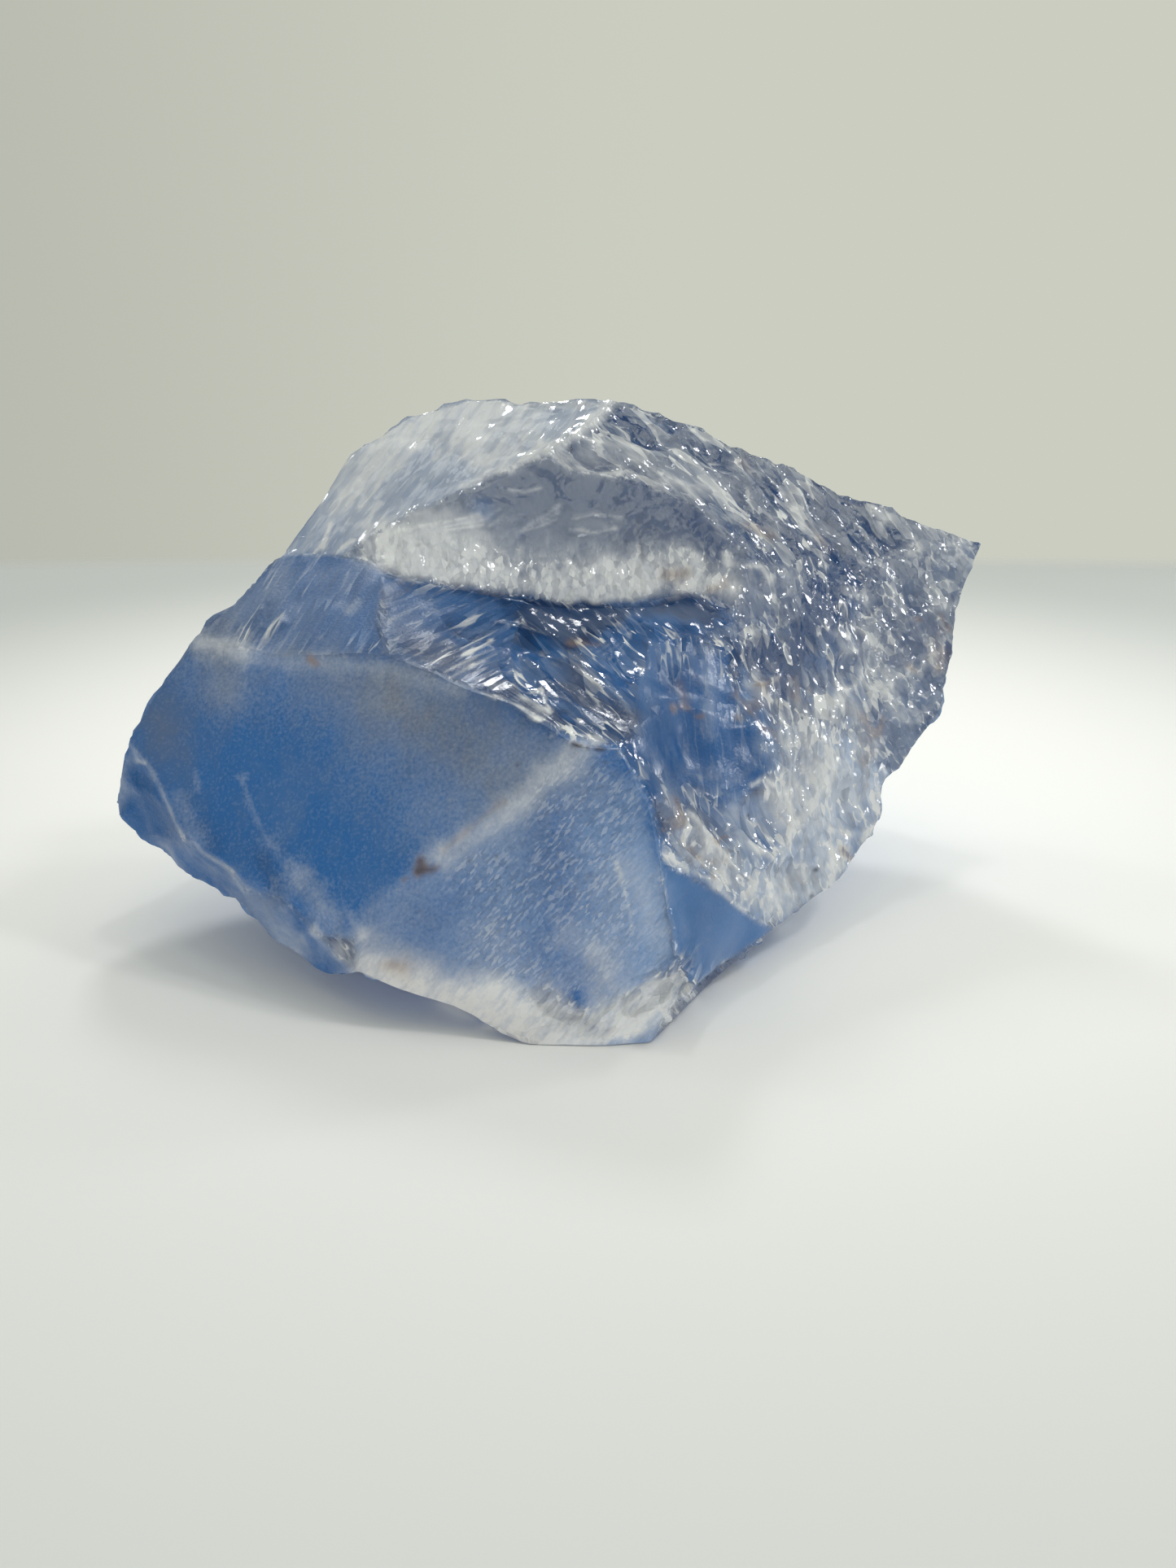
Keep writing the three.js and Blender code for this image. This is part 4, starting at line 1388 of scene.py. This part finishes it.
    def _share_out(self) -> None:
        """Shares each point out among the broken faces, and finds its place along their streaks."""
        left = self.front.copy()
        self.share = {}
        at = self.points / MM
        drift_u, drift_v = Noise.wave(at, 0.7, 11.0), Noise.wave(at, 0.7, 12.0)
        for face in OUTLINED:
            drift = max(face.soft - 6, 0) * 1.2
            self.share[face] = face.share(self.u + drift * drift_u, self.v + drift * drift_v) * left
            left = left - self.share[face]
        self.share[FLANK] = left
        self.share[BACK] = 1 - self.front
        self.stream = self.points / MM
        strongest = self.share[BACK].copy()
        for face in (*OUTLINED, FLANK):
            wins = self.share[face] > strongest
            strongest[wins] = self.share[face][wins]
            self.stream[wins] = face.stream(self.u[wins], self.v[wins])
        self.inner = smooth(strongest, 0.5, 0.9)

    def _layer(self, layer: Layer) -> np.ndarray:
        """Adds up a layer: the strength on its broken face and then the strokes.

        Args:
            layer: which layer.

        Returns:
            Its strength at each point.
        """
        total = np.zeros(len(self.points))
        if layer not in STROKES_ONLY:
            for face, share in self.share.items():
                total += share * getattr(face, layer.value)
        painted = np.zeros(len(self.points))
        for mark in STROKES:
            if mark.layer is layer:
                mark.add_to(painted, self.u, self.v, self.wander)
        return total + painted * self.front

    def _carve(self) -> None:
        """Moves the fine points by the relief of each broken face."""
        self._share_out()
        at = self.points / MM
        self.wander = Noise.wave(at, self.ripple_size, seed=7.0)
        self.bowls = Noise.scallops(self.stream, self.bowl_size)
        self.hackles = Noise.scallops(self.stream, self.hackle_size, seed=5.0)
        lift = self._layer(Layer.BOWLS) * self.bowls + self._layer(Layer.HACKLES) * self.hackles
        lift *= self.inner
        lift += self._layer(Layer.RELIEF)
        for flake in FLAKES:
            lift -= flake.depth * flake.inside(self.u, self.v) * self.front
        moved = at + self.facing * (lift * self.low)[:, None]
        low, high = at.min(axis=0), at.max(axis=0)
        self.points = np.clip(moved, low, high) * MM
        self.piece.data.vertices.foreach_set("co", self.points.ravel())
        self.piece.data.update()

    def _paint(self) -> None:
        """Paints the masks that the material reads, with painted highlights on the ridges and painted shade
        in the bowls.
        """
        mesh = self.piece.data
        at = self.points / MM
        drift = Noise.wave(at, self.cloud_size, seed=2.0)
        mottle = Noise.wave(self.stream, self.mottle_size, seed=3.0)
        back = self.share[BACK]
        high = smooth(at[:, 2], 6, 13) * back
        glassy = smooth(Noise.wave(at, self.zone_size, seed=21.0), 0.0, 0.5) * back
        veils = smooth(Noise.wave(self.stream, self.veil_size, seed=22.0), 0.15, 0.7) * back
        # painted highlight on the ridges and painted shade in the bowls; on the rim of each flake, a
        # painted highlight below and painted shade above
        ridges = self._layer(Layer.STREAK) * (self.bowls + 0.7 * self.hackles)
        rim_light_and_shade = sum(flake.rim(self.u, self.v) for flake in FLAKES) * self.front * (0.7 + 0.6 * mottle)
        added = {
            Layer.BLUE: (0.1 + 0.3 * back) * drift + 0.1 * mottle - 0.45 * high - 0.2 * veils,
            Layer.MILK_AND_GLINT: np.maximum(ridges - 0.1, 0) + 0.45 * np.maximum(rim_light_and_shade, 0) + 0.3 * veils,
            Layer.SMOKE: 0.1 * mottle + 0.5 * high,
            Layer.NAVY_AND_SHADE: 1.3 * np.maximum(-ridges - 0.08, 0) + 0.4 * np.maximum(-rim_light_and_shade, 0),
            Layer.CLEAR: 0.25 * high,
            Layer.STREAK: 0.4 * glassy + 0.25 * high,
            Layer.LINE: 0.3 * glassy,
            Layer.FROST: -0.4 * glassy - 0.3 * high,
        }
        for layer in MASKS:
            values = self._layer(layer) + added.get(layer, 0.0)
            attribute = mesh.attributes.new(layer.value, "FLOAT", "POINT")
            attribute.data.foreach_set("value", np.clip(values, 0, 1).astype(np.float32))
        flow = mesh.attributes.new("flow", "FLOAT_VECTOR", "CORNER")
        flow.data.foreach_set("vector", self._corner_stream().astype(np.float32).ravel())

    def _corner_stream(self) -> np.ndarray:
        """Finds the place along the streaks at each corner, by the broken face that its small face is in.

        Returns:
            One place per corner, in millimetres.
        """
        mesh = self.piece.data
        vertex = np.empty(len(mesh.loops), int)
        mesh.loops.foreach_get("vertex_index", vertex)
        first = np.empty(len(mesh.polygons), int)
        mesh.polygons.foreach_get("loop_start", first)
        count = np.diff(np.append(first, len(vertex)))
        strongest = np.add.reduceat(self.share[BACK][vertex], first)
        stream = self.points[vertex] / MM
        stream -= BACK_SQUEEZE * (stream @ BACK_GRAIN)[:, None] * BACK_GRAIN
        for face in (*OUTLINED, FLANK):
            share = np.add.reduceat(self.share[face][vertex], first)
            wins = share > strongest
            strongest[wins] = share[wins]
            corners = np.repeat(wins, count)
            stream[corners] = face.stream(self.u[vertex][corners], self.v[vertex][corners])
        return stream


# ---------------------------------------------------------------- shader wiring


class Socket:
    """A shader socket whose operators add Math nodes."""

    def __init__(self, wiring: "Wiring", link: bpy.types.NodeSocket) -> None:
        """Wraps an output socket of the wiring's node tree."""
        self.wiring = wiring
        self.link = link

    def _math(self, operation: str, *values: "Socket | float", clamp: bool = False) -> "Socket":
        """Adds a Math node.

        Args:
            operation: which sum it does.
            values: its inputs, in order.
            clamp: whether the result stays between 0 and 1.

        Returns:
            Its output.
        """
        settings = {"operation": operation, "use_clamp": clamp}
        return self.wiring.add("ShaderNodeMath", settings, dict(enumerate(values)))

    def __add__(self, other: "Socket | float") -> "Socket":
        """Sum."""
        return self._math("ADD", self, other)

    __radd__ = __add__

    def __sub__(self, other: "Socket | float") -> "Socket":
        """Difference."""
        return self._math("SUBTRACT", self, other)

    def __rsub__(self, other: float) -> "Socket":
        """Difference from a number."""
        return self._math("SUBTRACT", other, self)

    def __mul__(self, other: "Socket | float") -> "Socket":
        """Product."""
        return self._math("MULTIPLY", self, other)

    __rmul__ = __mul__

    def clamped(self) -> "Socket":
        """The value, kept between 0 and 1."""
        return self._math("ADD", self, 0.0, clamp=True)

    def between(self, low: float, high: float) -> "Socket":
        """Runs smoothly from 0 to 1.

        Args:
            low: the value that becomes 0.
            high: the value that becomes 1.

        Returns:
            The new value.
        """
        settings = {"interpolation_type": "SMOOTHSTEP"}
        inputs = {"Value": self, "From Min": low, "From Max": high}
        return self.wiring.add("ShaderNodeMapRange", settings, inputs)


class Wiring:
    """The node tree of one material."""

    def __init__(self, name: str) -> None:
        """Makes the material and empties its tree.

        Args:
            name: what the material is called.
        """
        self.material = bpy.data.materials.new(name)
        self.material.use_nodes = True
        self.tree = self.material.node_tree
        self.tree.nodes.clear()

    def add(self, kind: str, settings: dict, inputs: dict, output: str | int = 0) -> Socket:
        """Adds a node.

        Args:
            kind: the node's type.
            settings: its own properties, set first.
            inputs: numbers, colours or sockets for its inputs, by name or place.
            output: which of its outputs is wanted.

        Returns:
            That output.
        """
        node = self.tree.nodes.new(kind)
        for key, value in settings.items():
            setattr(node, key, value)
        for key, value in inputs.items():
            if isinstance(value, Socket):
                self.tree.links.new(value.link, node.inputs[key])
            else:
                node.inputs[key].default_value = value
        return Socket(self, node.outputs[output])

    def mask(self, name: str) -> Socket:
        """A painted mask of the surface."""
        return self.add("ShaderNodeAttribute", {"attribute_name": name}, {}, "Fac")

    def mix(self, share: Socket | float, one: Socket | Colour, other: Socket | Colour) -> Socket:
        """Blends two colours."""
        inputs = {0: share, 6: self._colour(one), 7: self._colour(other)}
        return self.add("ShaderNodeMix", {"data_type": "RGBA"}, inputs, 2)

    @staticmethod
    def _colour(value: Socket | Colour) -> Socket | tuple[float, ...]:
        """A colour with its fourth channel, or the socket unchanged."""
        return value if isinstance(value, Socket) else (*value, 1.0)

    def noise(self, place: Socket, scale: float, detail: float = 3.0, rough: float = 0.5) -> Socket:
        """Noise over the surface, about 0.5 on average."""
        inputs = {"Vector": place, "Scale": scale, "Detail": detail, "Roughness": rough}
        return self.add("ShaderNodeTexNoise", {}, inputs, "Fac")

    def chips(self, place: Socket, scale: float) -> tuple[Socket, Socket, Socket]:
        """Small chipped faces, each with its own tilt.

        Args:
            place: the vector that the chips lie over.
            scale: chips to one unit of it.

        Returns:
            A chance value from 0 to 1 for each chip, the height of its tilted face, and how far a place is
            from the middle of its chip.
        """
        kind, inputs = "ShaderNodeTexVoronoi", {"Vector": place, "Scale": scale}
        chance = self.add(kind, {}, inputs, "Color")
        middle = Socket(self, chance.link.node.outputs["Position"])
        offset = self.add("ShaderNodeVectorMath", {"operation": "SUBTRACT"}, {0: place, 1: middle})
        tilt = self.add("ShaderNodeVectorMath", {"operation": "SUBTRACT"}, {0: chance, 1: (0.5, 0.5, 0.5)})
        leaning = {0: offset, 1: tilt}
        slope = self.add("ShaderNodeVectorMath", {"operation": "DOT_PRODUCT"}, leaning, "Value")
        from_middle = Socket(self, chance.link.node.outputs["Distance"])
        value = self.add("ShaderNodeSeparateColor", {}, {"Color": chance}, "Green")
        return value, slope * scale, from_middle

    def finish(self, surface: Socket, volume: Socket | None = None) -> bpy.types.Material:
        """Joins the shaders to the output.

        Args:
            surface: the surface shader.
            volume: what the inside does to light, if anything.

        Returns:
            The material.
        """
        inputs = {"Surface": surface}
        if volume is not None:
            inputs["Volume"] = volume
        node = self.tree.nodes.new("ShaderNodeOutputMaterial")
        for key, value in inputs.items():
            self.tree.links.new(value.link, node.inputs[key])
        return self.material


# ---------------------------------------------------------------- finishes


@dataclass(frozen=True)
class QuartzFinish:
    """Quartz that is clear in places and clouded blue in others, with highlights, glints and shade painted
    into its colour.

    Args:
        deep_blue: its colour where it is bluest.
        pale_blue: its colour where nothing is painted.
        smoke_grey: its smoky parts.
        navy_and_shade_colour: its darkest parts, and the colour of its painted shade.
        milk_and_glint: its milky parts, and the colour of its painted highlights and glints.
        ochre: its rusty stains.
        dirt: its specks.
        inner_glow: the light that comes through it.
        inside: what its depth lets through.
        density: how strongly its depth takes light, per metre.
        refraction: its index of refraction.
        glow_share: how much of the cloudy part glows through.
        relief: how high the material's chips stand.
    """

    deep_blue: Colour = linear(28, 109, 180)
    pale_blue: Colour = linear(142, 186, 240)
    smoke_grey: Colour = linear(112, 119, 129)
    navy_and_shade_colour: Colour = linear(14, 56, 100)
    milk_and_glint: Colour = linear(248, 250, 249)
    ochre: Colour = linear(158, 120, 64)
    dirt: Colour = linear(62, 50, 40)
    inner_glow: Colour = linear(110, 160, 228)
    inside: Colour = (0.62, 0.68, 0.88)
    density: float = 25.0
    refraction: float = 1.544
    glow_share: float = 0.15
    relief: float = 0.2 * MM

    def material(self) -> bpy.types.Material:
        """Builds the material.

        Returns:
            The material.
        """
        nodes = Wiring("clouded_quartz")
        flow = nodes.add("ShaderNodeAttribute", {"attribute_name": "flow"}, {}, "Vector")
        place = nodes.add("ShaderNodeTexCoord", {}, {}, "Object")
        frost, clear, etch = nodes.mask("frost"), nodes.mask("clear"), nodes.mask("etch")
        streak, line = nodes.mask("streak"), nodes.mask("line")
        broad = nodes.noise(flow, scale=1.6, rough=0.6)
        thin = nodes.noise(flow, scale=5.5, detail=1.0)
        grain = nodes.noise(place, scale=9 / MM, detail=2.0, rough=0.6)
        chip, chip_tilt, _ = nodes.chips(flow, scale=2.2)
        sliver, sliver_tilt, off_middle = nodes.chips(flow, scale=6.0)
        spark, _, _ = nodes.chips(flow, scale=14.0)
        # thin bright lines along the edges of the chips: painted glints
        seam_glints = off_middle.between(0.5, 0.62) * sliver.between(0.45, 0.6) * broad.between(0.42, 0.58)
        seam_glints = seam_glints * thin.between(0.38, 0.56)
        sparks = spark.between(0.72, 0.8)
        height = (
            (chip_tilt * 1.3 + broad * 0.5) * streak
            + sliver_tilt * (streak * 0.5 + line * 0.9 + etch * 0.3)
            + grain * frost * 0.12
        )
        bump = nodes.add("ShaderNodeBump", {}, {"Strength": 1.0, "Distance": self.relief, "Height": height})
        # light and dark that changes from chip to chip, standing in for the light that each chip reflects:
        # painted highlight and shade
        tone = ((chip - 0.5) * 0.8 + (sliver - 0.5) * 0.8 + (broad - 0.5) * 1.1) * streak
        tone = tone + (thin - 0.5) * line * 0.5 + ((spark - 0.5) * 0.4 + (sparks - 0.3) * 0.15) * etch
        colour = nodes.mix(nodes.mask("smoke"), self.pale_blue, self.smoke_grey)
        bluer = (nodes.mask("blue") + (broad - 0.5) * 0.7 * frost).clamped()
        colour = nodes.mix(bluer, colour, self.deep_blue)
        # the deep navy of the mask, and painted shade on the darker chips
        darker = nodes.mask("navy_and_shade") + (tone * -1.3 - 0.03).clamped()
        colour = nodes.mix(darker.clamped(), colour, self.navy_and_shade_colour)
        # painted highlights on the lighter chips and glints along their edges, and the frost's grain
        white = (tone * 1.2 - 0.12).clamped() + seam_glints * line * 0.9 + (grain - 0.5) * 0.4 * frost
        cloud = nodes.mask("milk_and_glint") * (0.7 + 0.2 * broad.between(0.35, 0.6) + 0.2 * thin.between(0.3, 0.65))
        milky = (cloud + white).clamped()
        colour = nodes.mix(milky, colour, self.milk_and_glint)
        colour = nodes.mix(nodes.mask("stain"), colour, self.ochre)
        colour = nodes.mix(nodes.mask("dark"), colour, self.dirt)
        cloudy = nodes.add(
            "ShaderNodeBsdfPrincipled",
            {},
            {
                "Base Color": colour,
                "Roughness": 0.08 + 0.42 * frost,
                "IOR": self.refraction,
                "Normal": bump,
            },
        )
        glowing = nodes.add(
            "ShaderNodeBsdfTranslucent", {}, {"Color": (*self.inner_glow, 1.0), "Normal": bump}
        )
        body = nodes.add("ShaderNodeMixShader", {}, {0: self.glow_share, 1: cloudy, 2: glowing})
        glass = nodes.add(
            "ShaderNodeBsdfPrincipled",
            {},
            {
                "Base Color": (0.96, 0.97, 1.0, 1.0),
                "Roughness": 0.03 + 0.4 * frost,
                "IOR": self.refraction,
                "Transmission Weight": 1.0,
                "Normal": bump,
            },
        )
        glassy = (clear * (1 - milky * 0.7)).clamped()
        surface = nodes.add("ShaderNodeMixShader", {}, {0: glassy, 1: body, 2: glass})
        haze = nodes.add(
            "ShaderNodeVolumeAbsorption", {}, {"Color": (*self.inside, 1.0), "Density": self.density}
        )
        return nodes.finish(surface, haze)


@dataclass(frozen=True)
class FloorFinish:
    """A plain pale table top with a painted pool of light beside the stone, that fades out at its far edge.

    Args:
        pool_of_light_tone: its colour beside the stone, where the painted pool of light is brightest.
        far_tone: its colour far from the stone.
        pool_of_light_middle: the middle of the painted pool of light.
        near: how far from there it is still lightest.
        far: how far from there it is darkest.
        fade: half the width of the rim where it fades out.
    """

    pool_of_light_tone: Colour = linear(255, 255, 255)
    far_tone: Colour = linear(192, 196, 196)
    pool_of_light_middle: tuple[float, float, float] = (0.0, 15 * MM, 0.0)
    near: float = 12 * MM
    far: float = 66 * MM
    fade: float = 5 * MM

    def material(self, middle: tuple[float, float, float], radius: float) -> bpy.types.Material:
        """Builds the material.

        Args:
            middle: the middle of the round table top.
            radius: where its rim is.

        Returns:
            The material.
        """
        nodes = Wiring("pale_floor")
        place = nodes.add("ShaderNodeTexCoord", {}, {}, "Object")
        kind, settings = "ShaderNodeVectorMath", {"operation": "DISTANCE"}
        reach = nodes.add(kind, settings, {0: place, 1: middle}, "Value")
        beside = nodes.add(kind, settings, {0: place, 1: self.pool_of_light_middle}, "Value")
        # painted pool of light: lighter beside the stone, darker far from it
        tone = nodes.mix(beside.between(self.near, self.far), self.pool_of_light_tone, self.far_tone)
        matt = nodes.add("ShaderNodeBsdfPrincipled", {}, {"Base Color": tone, "Roughness": 0.8})
        gone = nodes.add("ShaderNodeBsdfTransparent", {}, {})
        share = reach.between(radius - 2 * self.fade, radius)
        return nodes.finish(nodes.add("ShaderNodeMixShader", {}, {0: share, 1: matt, 2: gone}))


# ---------------------------------------------------------------- studio


LAMPS = {
    # name: where it stands and how wide it is, in millimetres, and its watts
    "back_window": ((-25, 120, 120), 26, 0.055),
    "front_window": ((-80, -150, 40), 110, 0.062),
    "low_window": ((30, -125, 12), 40, 0.026),
    "right_window": ((110, -110, 30), 60, 0.012),
    "glint_left": ((-80, 60, 110), 16, 0.009),
    "glint_right": ((80, 10, 110), 17, 0.021),
    "glint_top": ((5, 30, 115), 10, 0.008),
    "glint_side": ((95, 50, 65), 15, 0.016),
    "glint_low": ((112, -4, 24), 12, 0.01),
}


@dataclass(frozen=True)
class Studio:
    """The pale floor, the wall's light and the lamps over the stone.

    Args:
        far_edge: how far behind the stone the table top ends.
        floor_radius: the table top's radius.
        wall: the wall's colour.
        wall_left: how bright the wall is at the left, as a share.
        room: how bright the room before the stone is, as a share.
        ceiling: how bright the ceiling is.
        aim: the place that the lamps look at.
    """

    far_edge: float = 84 * MM
    floor_radius: float = 700 * MM
    wall: Colour = linear(203, 205, 193)
    wall_left: float = 0.78
    room: float = 0.265
    ceiling: float = 1.7
    aim: tuple[float, float, float] = (0.0, 0.0, 8 * MM)

    def build(self) -> None:
        """Adds the floor, the surrounding light and the lamps."""
        self._floor()
        self._surroundings()
        for name, lamp in LAMPS.items():
            self._lamp(name, *lamp)

    def _floor(self) -> None:
        """Adds the round table top, whose far edge lies just behind the stone."""
        middle = (0.0, self.far_edge - self.floor_radius, -0.02 * MM)
        bpy.ops.object.select_all(action="DESELECT")
        bpy.ops.mesh.primitive_circle_add(
            vertices=512, radius=self.floor_radius, fill_type="NGON", location=middle
        )
        bpy.ops.object.transform_apply(location=True)
        floor = bpy.context.object
        floor.name = "pale_floor"
        floor.data.materials.append(FloorFinish().material(middle, self.floor_radius))

    def _surroundings(self) -> None:
        """Lights the scene as by a pale wall behind the stone and a dimmer room before it."""
        world = bpy.data.worlds.new("pale_wall")
        world.use_nodes = True
        tree = world.node_tree
        background = tree.nodes["Background"]
        background.inputs["Color"].default_value = (*self.wall, 1.0)
        direction = tree.nodes.new("ShaderNodeTexCoord")
        parts = tree.nodes.new("ShaderNodeSeparateXYZ")
        tree.links.new(direction.outputs["Generated"], parts.inputs[0])
        ranges = {
            "Y": (-0.6, 0.45, self.room, 1.0),
            "X": (-0.6, 0.1, self.wall_left, 1.0),
            "Z": (0.4, 0.9, 1.0, self.ceiling),
        }
        factors = []
        for axis, limits in ranges.items():
            share = tree.nodes.new("ShaderNodeMapRange")
            share.interpolation_type = "SMOOTHSTEP"
            for name, value in zip(("From Min", "From Max", "To Min", "To Max"), limits):
                share.inputs[name].default_value = value
            tree.links.new(parts.outputs[axis], share.inputs["Value"])
            factors.append(share.outputs["Result"])
        strength = factors[0]
        for factor in factors[1:]:
            product = tree.nodes.new("ShaderNodeMath")
            product.operation = "MULTIPLY"
            tree.links.new(strength, product.inputs[0])
            tree.links.new(factor, product.inputs[1])
            strength = product.outputs[0]
        tree.links.new(strength, background.inputs["Strength"])
        bpy.context.scene.world = world

    def _lamp(self, name: str, place: tuple[float, float, float], size: float, watts: float) -> None:
        """Adds a soft square lamp that looks at the stone.

        Args:
            name: what the lamp is called.
            place: where it stands, in millimetres.
            size: how wide it is, in millimetres.
            watts: its power.
        """
        data = bpy.data.lights.new(name, "AREA")
        data.size = size * MM
        data.energy = watts
        lamp = bpy.data.objects.new(name, data)
        lamp.location = Vector(place) * MM
        aim = Vector(self.aim) - lamp.location
        lamp.rotation_euler = aim.to_track_quat("-Z", "Y").to_euler()
        bpy.context.scene.collection.objects.link(lamp)


def main() -> None:
    """Builds the scene."""
    logging.basicConfig(level=logging.INFO, format="%(message)s")
    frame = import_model()
    camera = Camera()
    camera.build()
    Studio().build()
    stone = StoneSurface(frame["nodes"][STONE_NODE], camera).build()
    stone.data.materials.clear()
    stone.data.materials.append(QuartzFinish().material())
    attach(stone, "root")
    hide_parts(STONE_NODE)
    log.info("%s: %d faces", stone.name, len(stone.data.polygons))
    bpy.context.scene.view_settings.view_transform = "Standard"


if __name__ == "__main__":
    main()
